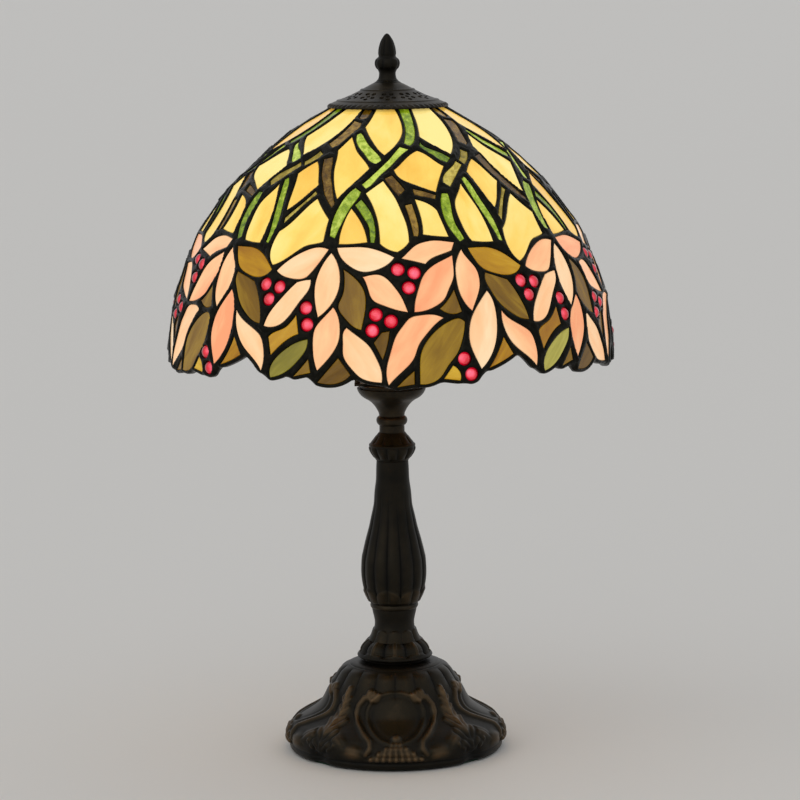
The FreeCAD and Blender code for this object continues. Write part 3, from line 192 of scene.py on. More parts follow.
def ruby_glass():
    """Cloudy red glass with painted light: a painted glow in the middle, where it faces the
    camera, painted shade darkening to its rim, and an emission that stands in for the bulb
    behind it.
    """
    material, tree, shader = new_material("ruby_glass")
    link = tree.links.new
    place = node(tree, "ShaderNodeTexCoord")
    cloud = node(tree, "ShaderNodeTexNoise", Scale=160, Detail=3)
    link(place.outputs["Object"], cloud.inputs["Vector"])
    # painted glow and painted shade: lighter where the glass faces the camera, darker towards
    # its rim
    rim = node(tree, "ShaderNodeLayerWeight", Blend=0.42)
    glow = node(tree, "ShaderNodeMath", operation="MULTIPLY_ADD")
    glow.inputs[1].default_value = 0.5
    link(cloud.outputs[0], glow.inputs[0])
    link(rim.outputs["Facing"], glow.inputs[2])
    # pale pink for the painted glow, deep red, then dark red for the painted shade at the rim
    colours = ramp(tree, [(0.22, linear(255, 96, 120)), (0.42, linear(214, 16, 44)),
                          (0.95, linear(84, 2, 12))])
    link(glow.outputs[0], colours.inputs[0])
    link(colours.outputs[0], shader.inputs["Base Color"])
    link(colours.outputs[0], shader.inputs["Emission Color"])
    # painted light: the emission stands in for the bulb behind the cabochons
    shader.inputs["Emission Strength"].default_value = 0.55
    shader.inputs["Roughness"].default_value = 0.04
    shader.inputs["Coat Weight"].default_value = 1
    shader.inputs["Coat Roughness"].default_value = 0.02
    return material


def aged_bronze(name, recess, flat, worn):
    """Cast metal with a dark patina that is rubbed to brown on the raised relief. The mesh
    carries its relief in the attribute 'relief', from 0 in a hollow to 1 on top."""
    material, tree, shader = new_material(name)
    link = tree.links.new
    place = node(tree, "ShaderNodeTexCoord")
    height = node(tree, "ShaderNodeAttribute", attribute_name="relief")
    stain = node(tree, "ShaderNodeTexNoise", Scale=70, Detail=6, Roughness=0.62)
    link(place.outputs["Object"], stain.inputs["Vector"])
    worn_away = node(tree, "ShaderNodeMath", operation="MULTIPLY_ADD")
    worn_away.inputs[1].default_value = 0.5
    centred = node(tree, "ShaderNodeMath", operation="SUBTRACT")
    centred.inputs[1].default_value = LEVEL_TONE
    link(height.outputs["Fac"], centred.inputs[0])
    link(stain.outputs[0], worn_away.inputs[0])
    link(centred.outputs[0], worn_away.inputs[2])
    colours = ramp(tree, [(0.12, recess), (0.45, flat), (0.95, worn)])
    link(worn_away.outputs[0], colours.inputs[0])
    link(colours.outputs[0], shader.inputs["Base Color"])
    shader.inputs["Metallic"].default_value = 0.75
    rough = node(tree, "ShaderNodeMapRange")
    rough.inputs["To Min"].default_value = 0.52
    rough.inputs["To Max"].default_value = 0.34
    link(worn_away.outputs[0], rough.inputs["Value"])
    link(rough.outputs[0], shader.inputs["Roughness"])
    pits = node(tree, "ShaderNodeTexNoise", Scale=520, Detail=4)
    link(place.outputs["Object"], pits.inputs["Vector"])
    bump = node(tree, "ShaderNodeBump", Strength=0.18, Distance=0.0004)
    link(pits.outputs[0], bump.inputs["Height"])
    link(bump.outputs[0], shader.inputs["Normal"])
    return material


def mottled(name, low, high, grain, roughness, metallic, bump_strength, glow=0):
    """A plain material whose colour wanders a little and whose face is not quite even."""
    material, tree, shader = new_material(name)
    link = tree.links.new
    place = node(tree, "ShaderNodeTexCoord")
    cloud = node(tree, "ShaderNodeTexNoise", Scale=grain, Detail=6, Roughness=0.6)
    link(place.outputs["Object"], cloud.inputs["Vector"])
    colours = ramp(tree, [(0.32, low), (0.68, high)])
    link(cloud.outputs[0], colours.inputs[0])
    link(colours.outputs[0], shader.inputs["Base Color"])
    shader.inputs["Metallic"].default_value = metallic
    worn = node(tree, "ShaderNodeMapRange")
    worn.inputs["To Min"].default_value = roughness - 0.08
    worn.inputs["To Max"].default_value = roughness + 0.08
    link(cloud.outputs[0], worn.inputs["Value"])
    link(worn.outputs[0], shader.inputs["Roughness"])
    bump = node(tree, "ShaderNodeBump", Strength=bump_strength, Distance=0.0005)
    link(cloud.outputs[0], bump.inputs["Height"])
    link(bump.outputs[0], shader.inputs["Normal"])
    if glow:
        link(colours.outputs[0], shader.inputs["Emission Color"])
        shader.inputs["Emission Strength"].default_value = glow
    return material


# ---------------------------------------------------------------- mesh helpers

def piece_from(name, points, faces, material, body, replaced=(), relief=None):
    """A smooth mesh piece in metres that rides on a body and stands for CAD nodes."""
    mesh = bpy.data.meshes.new(name)
    mesh.from_pydata([tuple(point) for point in points], [], faces)
    mesh.materials.append(material)
    mesh.polygons.foreach_set("use_smooth", [True] * len(mesh.polygons))
    if relief is not None:
        mesh.attributes.new("relief", "FLOAT", "POINT").data.foreach_set(
            "value", np.asarray(relief, dtype=np.float32).ravel())
    mesh.update()
    piece = bpy.data.objects.new(name, mesh)
    bpy.context.scene.collection.objects.link(piece)
    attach(piece, body)
    if replaced:
        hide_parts(*replaced)
    return piece


def smooth_through(points, step):
    """A Catmull-Rom curve through (radius, height) points, sampled about every step."""
    ends = [points[0]] + list(points) + [points[-1]]
    ends = np.array(ends, dtype=float)
    result = []
    for before, start, end, after in zip(ends, ends[1:], ends[2:], ends[3:]):
        count = max(2, int(np.hypot(*(end - start)) / step))
        share = (np.arange(count) / count)[:, None]
        result.append(0.5 * (2 * start + (end - before) * share
                             + (2 * before - 5 * start + 4 * end - after) * share ** 2
                             + (3 * start - before - 3 * end + after) * share ** 3))
    result.append(ends[-1:])
    return np.concatenate(result)


def turned_relief(name, outline, closing, sides, relief, material, body, replaced):
    """A closed turned piece whose outside carries a relief.

    outline is the outside from bottom to top as (radius, height) in millimetres, and
    closing leads back inside from the top to the bottom. relief(turn, place, radius,
    height) gives the outward shift in millimetres over the outside's grid, where place is
    the arc length up the outline.
    """
    outside = np.asarray(outline, dtype=float)
    rows = len(outside)
    slope = np.gradient(outside, axis=0)
    size = np.hypot(slope[:, 0], slope[:, 1])[:, None]
    normal = np.stack([slope[:, 1], -slope[:, 0]], axis=1) / np.maximum(size, 1e-9)
    steps = np.hypot(*np.diff(outside, axis=0).T)
    place = np.concatenate([[0], np.cumsum(steps)])
    turn = np.linspace(0, 2 * math.pi, sides, endpoint=False)
    turns, places = np.meshgrid(turn, place)
    radii = np.repeat(outside[:, :1], sides, axis=1)
    heights = np.repeat(outside[:, 1:], sides, axis=1)
    shift = relief(turns, places, radii, heights)
    full_radii = radii + shift * normal[:, :1]
    full_heights = heights + shift * normal[:, 1:]
    inner = np.asarray(closing, dtype=float)
    full_radii = np.concatenate([full_radii, np.repeat(inner[:, :1], sides, axis=1)])
    full_heights = np.concatenate([full_heights, np.repeat(inner[:, 1:], sides, axis=1)])
    total = len(full_radii)
    points = np.stack([full_radii * np.sin(turn), -full_radii * np.cos(turn), full_heights],
                      axis=-1).reshape(-1, 3) * MM
    index = np.arange(total * sides).reshape(total, sides)
    above = np.roll(index, -1, axis=0)
    beside = np.roll(index, -1, axis=1)
    corner = np.roll(above, -1, axis=1)
    faces = np.stack([index, beside, corner, above], axis=-1).reshape(-1, 4)
    tone = np.full((total, sides), LEVEL_TONE)
    tone[:rows] = np.clip(LEVEL_TONE + shift / TONE_SPAN, 0, 1)
    return piece_from(name, points, faces.tolist(), material, body, replaced,
                      relief=tone)


def dome_bump(amount):
    """Height of a low dome, where amount is 0 in its middle and 1 at its edge."""
    return np.sqrt(np.clip(1 - amount ** 2, 0, 1))


def bump_of(distance, width):
    """A round ridge: 1 on the line and 0 from the width outwards."""
    return dome_bump(distance / width)


def distance_to_line(x, y, line):
    """Distance from grid points to a polyline of (x, y) points."""
    nearest = np.full(x.shape, 1e9)
    for (ax, ay), (bx, by) in zip(line, line[1:]):
        along_x, along_y = bx - ax, by - ay
        length = max(along_x ** 2 + along_y ** 2, 1e-9)
        share = np.clip(((x - ax) * along_x + (y - ay) * along_y) / length, 0, 1)
        nearest = np.minimum(nearest, np.hypot(x - ax - share * along_x,
                                               y - ay - share * along_y))
    return nearest


# ---------------------------------------------------------------- the shade's solder

DOME_RADIUS, DOME_RISE, DOME_RIM = 150, 189.8, 261
ROUND_POWER, HEIGHT_POWER = 1.397, 2.292
GLASS_THICKNESS = 3
TOP_ARC = 226
FLAT_RADIUS = 250
OUTLINE_STEP = 1.6  # between points along a piece of glass
FACE_LEVEL = 0.6  # how squarely a face of glass has to look outwards to be its outer one
BACK_LEVEL = -0.9  # the same, inwards, for the back of a cabochon

BERRIES = 13 * REPEATS
BERRY_RADIUS, BERRY_SIDES, BERRY_PROUD = 4.3, 18, 0.25
BEAD_WIDTH, BEAD_HEIGHT = 1.35, 1.0

RIM_SOLDER = 2.3  # between the lowest glass and the lower edge
EDGE_RAISE = 2.4
EDGE_ZONE = 45  # only glass below this arc length shapes the lower edge
EDGE_POINTS, EDGE_SMOOTHING = 1100, 7
TOP_POINTS = 240
EDGE_PROUD, TOP_PROUD = -0.7, 0.2

FREE_STEP, FREE_START = 1.0, 4
FREE_OVER_EDGE, FREE_GAP = 0.5, 0.42
LEVEL_STEP, LEVEL_REACH, LEVEL_EASE = 0.5, 2.6, 0.05
LEVEL_AT_EDGE = -0.6


def dome_table():
    """Arc length, radius and height up the shade's outer face."""
    height = np.linspace(0, DOME_RISE * 0.9995, 4000)
    radius = DOME_RADIUS * (1 - (height / DOME_RISE) ** HEIGHT_POWER) ** (1 / ROUND_POWER)
    arc = np.concatenate([[0], np.cumsum(np.hypot(np.diff(height), np.diff(radius)))])
    return arc, radius, height + DOME_RIM


ARC, ARC_RADIUS, ARC_HEIGHT = dome_table()
NORMAL_OUT = np.gradient(ARC_HEIGHT, ARC)
NORMAL_UP = -np.gradient(ARC_RADIUS, ARC)


def on_dome(turn, arc, proud):
    """Points on the shade, proud of its face by a distance, in millimetres."""
    radius = np.interp(arc, ARC, ARC_RADIUS) + proud * np.interp(arc, ARC, NORMAL_OUT)
    height = np.interp(arc, ARC, ARC_HEIGHT) + proud * np.interp(arc, ARC, NORMAL_UP)
    return np.stack([radius * np.sin(turn), -radius * np.cos(turn), height], axis=-1)


def dome_place(points):
    """Turn, arc length and height over the dome's face of points near it."""
    turn = np.arctan2(points[:, 0], -points[:, 1])
    radius = np.hypot(points[:, 0], points[:, 1])
    coarse = 8
    gap = np.hypot(radius[:, None] - ARC_RADIUS[::coarse],
                   points[:, 2:] - ARC_HEIGHT[::coarse])
    nearest = gap.argmin(axis=1) * coarse
    arc = ARC[nearest]
    for _ in range(2):
        miss_out = radius - np.interp(arc, ARC, ARC_RADIUS)
        miss_up = points[:, 2] - np.interp(arc, ARC, ARC_HEIGHT)
        arc = arc + miss_up * np.interp(arc, ARC, NORMAL_OUT) - miss_out * np.interp(
            arc, ARC, NORMAL_UP)
    proud = miss_out * np.interp(arc, ARC, NORMAL_OUT) + miss_up * np.interp(
        arc, ARC, NORMAL_UP)
    return turn, arc, proud


def outward_at(point):
    """The way straight out of the dome beside a point in millimetres."""
    turn = math.atan2(point[0], -point[1])
    arc = np.interp(point[2], ARC_HEIGHT, ARC)
    level = np.interp(arc, ARC, NORMAL_OUT)
    return Vector((level * math.sin(turn), -level * math.cos(turn),
                   np.interp(arc, ARC, NORMAL_UP)))


def outer_loops(node_object):
    """The outlines of the outer faces of every flat piece of glass in a node."""
    mesh = node_object.data
    points = np.empty(len(mesh.vertices) * 3)
    mesh.vertices.foreach_get("co", points)
    points = points.reshape(-1, 3) / MM
    used = {}
    for polygon in mesh.polygons:
        corners = list(polygon.vertices)
        if polygon.normal.dot(outward_at(points[corners].mean(axis=0))) < FACE_LEVEL:
            continue
        for start, end in zip(corners, corners[1:] + corners[:1]):
            if (end, start) in used:
                del used[(end, start)]
            else:
                used[(start, end)] = True
    following = {start: end for start, end in used}
    loops = []
    while following:
        start = next(iter(following))
        loop = [start]
        step = following.pop(start)
        while step != start:
            loop.append(step)
            step = following.pop(step)
        loops.append(points[loop])
    return loops


def berry_places(node_object):
    """The middle of each cabochon's flat back. Faces that share a corner are one back."""
    mesh = node_object.data
    backs = []
    for polygon in mesh.polygons:
        if polygon.normal.dot(outward_at(np.array(polygon.center) / MM)) > BACK_LEVEL:
            continue
        corners = {tuple(round(value / MM, 2) for value in mesh.vertices[index].co)
                   for index in polygon.vertices}
        for back in [back for back in backs if back & corners]:
            backs.remove(back)
            corners = corners | back
        backs.append(corners)
    if len(backs) != BERRIES:
        raise ValueError("found %d cabochons instead of %d" % (len(backs), BERRIES))
    middles = []
    for back in backs:
        corners = np.array(sorted(back))
        middles.append((corners.min(axis=0) + corners.max(axis=0)) / 2)
    return middles


def evenly(loop, step):
    """The closed loop with extra points, so that none are further apart than step."""
    result = []
    for start, end in zip(loop, np.roll(loop, -1, axis=0)):
        count = max(1, int(np.ceil(np.linalg.norm(end - start) / step)))
        for index in range(count):
            result.append(start + (end - start) * index / count)
    return np.array(result)


def inside(loop_x, loop_y, x, y):
    """Which of many points lie within one outline, by the even and odd rule."""
    near = np.nonzero((x > loop_x.min()) & (x < loop_x.max())
                      & (y > loop_y.min()) & (y < loop_y.max()))[0]
    near_x, near_y = x[near], y[near]
    odd = np.zeros(len(near), dtype=bool)
    for ax, ay, bx, by in zip(loop_x, loop_y, np.roll(loop_x, -1), np.roll(loop_y, -1)):
        crosses = (ay > near_y) != (by > near_y)
        if crosses.any():
            odd ^= crosses & (near_x < (bx - ax) * (near_y - ay) / (by - ay + 1e-12) + ax)
    result = np.zeros(x.shape, dtype=bool)
    result[near] = odd
    return result


def flat_map(turn, arc):
    """The dome laid flat as a ring, crown inside: only used to join the points."""
    radius = FLAT_RADIUS - arc
    return radius * np.sin(turn), -radius * np.cos(turn)


def solder_windows():
    """The outlines that the solder leaves open, in millimetres: every flat piece of glass,
    then a ring for every cabochon."""
    loops = []
    for name in GLASS_NODES:
        for loop in outer_loops(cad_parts[name]):
            if len(loop) > 2:
                loops.append(evenly(loop, OUTLINE_STEP))
    around = np.linspace(0, 2 * math.pi, BERRY_SIDES, endpoint=False)
    for middle in berry_places(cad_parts["berry_cabochons"]):
        turn, arc, _ = dome_place(middle[None, :])
        radius = np.interp(arc, ARC, ARC_RADIUS)
        ring_turn = turn + BERRY_RADIUS * np.cos(around) / radius
        ring_arc = arc + BERRY_RADIUS * np.sin(around)
        loops.append(on_dome(ring_turn, ring_arc, BERRY_PROUD))
    return loops


def lower_edge(windows):
    """Turn and arc length along the lower edge. It is the path of a ball rolled along below
    the glass, raised so that it clears the lowest glass by RIM_SOLDER, then smoothed."""
    edge_turn = np.linspace(-math.pi, math.pi, EDGE_POINTS, endpoint=False)
    low_turn = np.concatenate([turn[arc < EDGE_ZONE] for turn, arc, _ in windows])
    low_arc = np.concatenate([arc[arc < EDGE_ZONE] for _, arc, _ in windows])
    ball = RIM_SOLDER + EDGE_RAISE
    edge_arc = np.empty_like(edge_turn)
    for index, turn in enumerate(edge_turn):
        across = (low_turn - turn + math.pi) % (2 * math.pi) - math.pi
        across = across * DOME_RADIUS
        near = np.abs(across) < ball
        reach = np.sqrt(np.clip(ball ** 2 - across[near] ** 2, 0, None))
        edge_arc[index] = (low_arc[near] - reach).min() + EDGE_RAISE
    spread = np.ones(EDGE_SMOOTHING) / EDGE_SMOOTHING
    beyond = EDGE_SMOOTHING // 2
    wrapped = np.concatenate([edge_arc[-beyond:], edge_arc, edge_arc[:beyond]])
    return edge_turn, np.convolve(wrapped, spread, mode="valid")


def points_between(windows, edge_turn, edge_arc):
    """Free points in staggered rows as (turn, arc length), outside every window."""
    rows = []
    for row, arc in enumerate(np.arange(FREE_START, TOP_ARC, FREE_STEP)):
        radius = np.interp(arc, ARC, ARC_RADIUS)
        count = int(2 * math.pi * radius / FREE_STEP)
        turn = (np.arange(count) + 0.5 * (row % 2)) / count * 2 * math.pi - math.pi
        rows.append(np.stack([turn, np.full(count, arc)], axis=1))
    free = np.concatenate(rows)
    edge_here = np.interp(free[:, 0], edge_turn, edge_arc, period=2 * math.pi)
    free = free[free[:, 1] > edge_here + FREE_OVER_EDGE]
    free_x, free_y = flat_map(free[:, 0], free[:, 1])
    kept = np.ones(len(free), dtype=bool)
    for turn, arc, _ in windows:
        kept &= ~inside(*flat_map(turn, arc), free_x, free_y)
    return free[kept]


def gaps_and_levels(free, loops, edge_turn, edge_arc):
    """For every free point its distance to the nearest outline, and how proud of the dome
    the outlines around it are."""
    glass_turn, glass_arc, glass_proud = dome_place(
        np.concatenate([evenly(loop, LEVEL_STEP) for loop in loops]))
    marks = np.concatenate([on_dome(glass_turn, glass_arc, 0), on_dome(edge_turn, edge_arc, 0)])
    proud = np.concatenate([glass_proud, np.full(len(edge_turn), LEVEL_AT_EDGE)])
    tree = KDTree(len(marks))
    for index, mark in enumerate(marks):
        tree.insert(mark, index)
    tree.balance()
    distances = np.empty(len(free))
    levels = np.empty(len(free))
    for index, point in enumerate(on_dome(free[:, 0], free[:, 1], 0)):
        near = tree.find_range(point, LEVEL_REACH) or [tree.find(point)]
        gaps = np.array([entry[2] for entry in near])
        weights = 1 / (gaps ** 2 + LEVEL_EASE)
        distances[index] = gaps.min()
        levels[index] = (proud[[entry[1] for entry in near]] * weights).sum() / weights.sum()
    return distances, levels


def joined(rings, turn, arc, proud, lift):
    """Triangles between the rings, which hold every point but the free ones, in order.

    The rings are the windows, then the lower edge, then the top. Returned are the columns
    of the points that are used, and the triangles between them.
    """
    sizes = [len(ring[0]) for ring in rings]
    starts = np.concatenate([[0], np.cumsum(sizes)])
    flat_x, flat_y = flat_map(turn, arc)
    edges = []
    for start, size in zip(starts, sizes):
        edges += [(int(start + index), int(start + (index + 1) % size))
                  for index in range(size)]
    flat = [Vector(pair) for pair in zip(flat_x.tolist(), flat_y.tolist())]
    result = delaunay_2d_cdt(flat, edges, [], 0, 1e-5)
    # a point where two outlines cross is new: it stands in its own place, as proud as the
    # nearest other point
    crossing = np.array([not source for source in result[3]])
    origin = np.array([source[0] if source
                       else np.hypot(flat_x - point.x, flat_y - point.y).argmin()
                       for point, source in zip(result[0], result[3])])
    turn, arc, proud, lift = (column[origin] for column in (turn, arc, proud, lift))
    new_x = np.array([point.x for point in result[0]])
    new_y = np.array([point.y for point in result[0]])
    turn[crossing] = np.arctan2(new_x[crossing], -new_y[crossing])
    arc[crossing] = FLAT_RADIUS - np.hypot(new_x[crossing], new_y[crossing])

    # a triangle is kept within the lower edge and outside the windows and the top
    triangles = np.array([face for face in result[2] if len(face) == 3])
    middle_x = new_x[triangles].mean(axis=1)
    middle_y = new_y[triangles].mean(axis=1)
    keep = np.ones(len(triangles), dtype=bool)
    lower = len(rings) - 2
    for number, (start, size) in enumerate(zip(starts, sizes)):
        held = inside(flat_x[start:start + size], flat_y[start:start + size],
                      middle_x, middle_y)
        keep &= held if number == lower else ~held
    used, renumbered = np.unique(triangles[keep], return_inverse=True)
    columns = [column[used] for column in (turn, arc, proud, lift)]
    return columns, renumbered.reshape(-1, 3)


def make_solder(material):
    """One net of rounded beads between the glass, with an outer face, an inner face and a
    wall round every window."""
    loops = solder_windows()
    windows = [dome_place(loop) for loop in loops]
    edge_turn, edge_arc = lower_edge(windows)
    top_turn = np.linspace(-math.pi, math.pi, TOP_POINTS, endpoint=False)
    rings = windows + [
        (edge_turn, edge_arc, np.full_like(edge_turn, EDGE_PROUD)),
        (top_turn, np.full_like(top_turn, TOP_ARC), np.full_like(top_turn, TOP_PROUD))]

    free = points_between(windows, edge_turn, edge_arc)
    distances, levels = gaps_and_levels(free, loops, edge_turn, edge_arc)
    clear = distances > FREE_GAP
    free, distances, levels = free[clear], distances[clear], levels[clear]
    share = np.clip(distances / BEAD_WIDTH, 0, 1)
    bead = BEAD_HEIGHT * np.sqrt(1 - (1 - share) ** 2)
    turn, arc, proud = (np.concatenate(parts)
                        for parts in zip(*rings, (free[:, 0], free[:, 1], levels)))
    lift = np.concatenate([np.zeros(len(turn) - len(bead)), bead])

    (turn, arc, proud, lift), triangles = joined(rings, turn, arc, proud, lift)
    outer = on_dome(turn, arc, proud + lift)
    inner = on_dome(turn, arc, proud - GLASS_THICKNESS - 0.5 * lift)
    count = len(turn)
    faces = triangles.tolist() + (triangles[:, ::-1] + count).tolist()
    sides = {}
    for a, b, c in triangles.tolist():
        for pair in ((a, b), (b, c), (c, a)):
            sides[pair] = True
    for a, b in sides:
        if (b, a) not in sides:
            faces.append((b, a, a + count, b + count))
    points = np.concatenate([outer, inner]) * MM
    piece_from("solder_lines", points, oriented(points, faces), material, "shade",
               ["solder_lattice"])


def oriented(points, faces):
    """The faces, all turned over if the first one looks inwards."""
    first = faces[0]
    a, b, c = (points[index] for index in first[:3])
    normal = np.cross(b - a, c - a)
    if normal.dot(np.array([a[0], a[1], 0])) < 0:
        return [tuple(reversed(face)) for face in faces]
    return faces


# ---------------------------------------------------------------- cast metal

def flat_top(value, low, high, soft):
    """1 between low and high, easing to 0 over soft on either side."""
    rise = np.clip((value - low) / soft + 0.5, 0, 1)
    fall = np.clip((high - value) / soft + 0.5, 0, 1)
    return rise * rise * (3 - 2 * rise) * fall * fall * (3 - 2 * fall)


FOOT_OUTSIDE = [
    (71.6, 1), (73, 2.9), (73.3, 7), (73.3, 11.3), (72.9, 14), (70.9, 17), (68.5, 19.7),
    (64.4, 22.4), (59.6, 25), (54.8, 28), (51.3, 31), (48.2, 36), (45.5, 42), (42.1, 47.5),
    (38.6, 53), (36.2, 56), (32, 59)]
FOOT_INSIDE = [
    (5.2, 59), (5.2, 53), (26.3, 53), (33.3, 53), (39.3, 46), (43.8, 36), (49.3, 28),
    (57.8, 22), (64.3, 17), (68.7, 11), (68.9, 1)]


def scroll_line(side):
    """A C-scroll beside the cartouche: a curl at the top, then down round the oval."""
    line = []
    for step in range(21):
        way = math.radians(-60 + step * 21)
        size = 0.8 + 3.2 * step / 20
        line.append((15 - size * math.cos(way), 45 + size * math.sin(way)))
    line += [(20.5, 43), (24.5, 38.5), (26.2, 33), (25.4, 27.5), (22, 23), (18, 19.5),
             (17.5, 15.5), (20.5, 11.5)]
    return [(side * x, y) for x, y in line]


def soft_bump(amount):
    """A low swelling with no edge, where amount is 0 in its middle and 1 where it ends."""
    return np.clip(1 - amount ** 2, 0, 1) ** 2


def softened(relief, times):
    """The relief with its edges rounded, as a casting's are."""
    for _ in range(times):
        relief = (np.roll(relief, 1, axis=1) + 2 * relief + np.roll(relief, -1, axis=1)) / 4
        above = np.vstack([relief[1:], relief[-1:]])
        below = np.vstack([relief[:1], relief[:-1]])
        relief = (above + 2 * relief + below) / 4
    return relief


SHELL_ROWS = (  # height, number of beads, spacing and radius
    (8.8, 9, 4.2, 1.9), (12.1, 7, 3.9, 1.7), (15.1, 5, 3.4, 1.5), (17.7, 3, 2.8, 1.2))
LEAF_LOBES = (  # place across and up, half width, half height, lean and relief
    (29, 12, 12.5, 6.5, 0.12, 2.2), (39, 19, 9, 6, 0.75, 1.7))


def with_lobes_and_scrolls(relief, x, z):
    """Leaf lobes that curl away from the shell, then the scrolls over them, with the
    scrolls' own relief."""
    for side in (-1, 1):
        for place_x, place_z, wide, tall, lean, high in LEAF_LOBES:
            across = (side * x - place_x) * math.cos(lean) + (z - place_z) * math.sin(lean)
            along = (z - place_z) * math.cos(lean) - (side * x - place_x) * math.sin(lean)
            lobe = np.hypot(across / wide, along / tall)
            relief = np.maximum(relief, high * soft_bump(lobe))
            relief -= 0.5 * bump_of(np.abs(along + 0.035 * across ** 2 - 1), 0.8) * (lobe < 0.75)
    scrolls = np.zeros_like(x)
    for side in (-1, 1):
        away = distance_to_line(x, z, scroll_line(side))
        relief -= 0.6 * soft_bump(away / 4.6)
        scrolls = np.maximum(scrolls, 1.9 * bump_of(away, 1.9))
        scrolls = np.maximum(scrolls, 2.2 * dome_bump(np.hypot(x - side * 15, z - 45) / 1.8))
    return np.maximum(relief, scrolls), scrolls


def with_cartouche(relief, scrolls, x, z):
    """An oval swelling with a groove and a rim, and the scrolls' curls over the rim."""
    oval = np.hypot(x / 15.5, (z - 32.5) / 11.5)
    relief = np.where(oval < 1.2, np.minimum(relief, 0.4), relief)
    relief += 0.9 * dome_bump(oval) - 0.7 * bump_of(np.abs(oval - 1.07) * 14, 1.3)
    relief += 0.9 * bump_of(np.abs(oval - 1.24) * 14, 1.4)
    return np.maximum(relief, scrolls * flat_top(z, 40, 51, 2))


def with_shell(relief, x, z):
    """Beads in rows that widen downwards, on a raised fan with a drop on top."""
    down = np.clip((21.5 - z) / 13, 0, 1.12)
    fan = np.abs(x) / np.maximum(19.5 * down, 0.1)
    inside_fan = (fan < 1) & (z > 6.6) & (z < 21.5)
    rays = 0.9 + 0.4 * np.cos(x / np.maximum(down, 0.05) / 4.25 * 2 * math.pi)
    relief = np.where(inside_fan, np.maximum(relief * 0.3, rays), relief)
    for row_z, count, gap, size in SHELL_ROWS:
        for number in range(count):
            middle = (number - (count - 1) / 2) * gap
            away = np.hypot(x - middle, z - row_z) / size
            relief = np.maximum(relief, 0.8 + 1.3 * size * dome_bump(away) * (away < 1)
                                - 9 * (away >= 1))
    return np.maximum(relief, 2.2 * dome_bump(np.hypot(x / 3.4, (z - 21) / 1.8)))


def with_corner_leaf(relief, corner, z):
    """A leaf down each corner, with three beads on either side."""
    wide = np.interp(z, [9, 14, 22, 32, 42, 50], [4, 8.5, 9, 6.5, 4.2, 1.2])
    wide = wide * (1 + 0.16 * np.sin(z * 0.95))
    leaf = 1.9 * dome_bump(corner / wide) + 0.7 * bump_of(corner, 1.3)
    leaf -= 0.4 * np.cos((z - 1.1 * corner) * 1.1)
    relief = np.where(corner < wide, np.maximum(relief * 0.3, leaf * flat_top(z, 9, 49, 3)),
                      relief)
    for bead_z in (12, 15.2, 18.2):
        away = np.hypot(corner - wide - 2.2, z - bead_z) / 1.5
        relief = np.maximum(relief, 1.7 * dome_bump(away))
    return relief


def foot_relief(turn, place, radius, height):
    """Four lobes, each with an oval cartouche between scrolls over a beaded shell, and an
    acanthus leaf down each corner between them."""
    around = (turn + math.pi / 4) % (math.pi / 2) - math.pi / 4
    x = radius * np.sin(around)
    corner = np.minimum(np.abs(around - math.pi / 4), np.abs(around + math.pi / 4)) * radius
    relief, scrolls = with_lobes_and_scrolls(np.zeros_like(x), x, height)
    relief = with_cartouche(relief, scrolls, x, height)
    relief = with_shell(relief, x, height)
    relief = with_corner_leaf(relief, corner, height)
    relief *= flat_top(height, 7, 48.5, 2.5)
    relief = softened(relief, 2)
    # the outline dips between the lobes, and broad flutes run down from the neck
    relief -= 2.3 * np.exp(-(corner / 6.5) ** 2) * flat_top(height, -5, 21, 6)
    fluting = np.interp(height, [41, 48, 54, 57, 58.6], [0, 1.2, 1.5, 1, 0])
    relief += fluting * (petals(turn + math.pi / 18, 18) - 0.45)
    relief -= 0.5 * bump_of(np.abs(height - 5.8), 0.9)
    return relief


def drilled(piece, holes, along, length):
    """Cuts round holes, (corner, radius) each, along an axis through a finished piece."""
    points, faces = [], []
    sides = 24
    for (x, y, z), radius in holes:
        start = len(points)
        for far in (0, length):
            for step in range(sides):
                way = 2 * math.pi * step / sides
                wide, deep = radius * math.cos(way), radius * math.sin(way)
                if along == "Y":
                    points.append((x + wide, y + far, z - deep))
                else:
                    points.append((x + wide, y + deep, z + far))
        faces.append(tuple(range(start + sides - 1, start - 1, -1)))
        faces.append(tuple(range(start + sides, start + 2 * sides)))
        for step in range(sides):
            beside = (step + 1) % sides
            faces.append((start + step, start + beside, start + sides + beside,
                          start + sides + step))
    mesh = bpy.data.meshes.new("drill")
    mesh.from_pydata(points, [], faces)
    drill = bpy.data.objects.new("drill", mesh)
    bpy.context.scene.collection.objects.link(drill)
    hole = piece.modifiers.new("hole", "BOOLEAN")
    hole.operation = "DIFFERENCE"
    hole.solver = "EXACT"
    hole.object = drill
    bpy.context.view_layer.update()
    shaped = bpy.data.meshes.new_from_object(
        piece.evaluated_get(bpy.context.evaluated_depsgraph_get()))
    piece.modifiers.remove(hole)
    shaped.name = piece.data.name + "_drilled"
    piece.data = shaped
    bpy.data.objects.remove(drill)


def make_foot(bronze):
    """The lobed foot, with the cord's hole at the back."""
    outline = smooth_through(FOOT_OUTSIDE, 0.55)
    piece = turned_relief("ornate_foot", outline, FOOT_INSIDE, 800, foot_relief, bronze,
                          "base", ["base_casting"])
    drilled(piece, [((0, 0.060, 0.0075), 0.0051)], "Y", 0.02)


def petals(turn, count):
    """Round petals side by side: 1 on each middle and 0 in the grooves between."""
    return np.sqrt(np.abs(np.cos(turn * count / 2)))


PIPE_BORE = 5.3


def column_casting(name, outside, sides, relief, bronze, replaced):
    """A casting on the pipe, bored straight through."""
    bore = [(PIPE_BORE, outside[-1][1]), (PIPE_BORE, outside[0][1])]
    turned_relief(name, outside, bore, sides, relief, bronze, "base", [replaced])


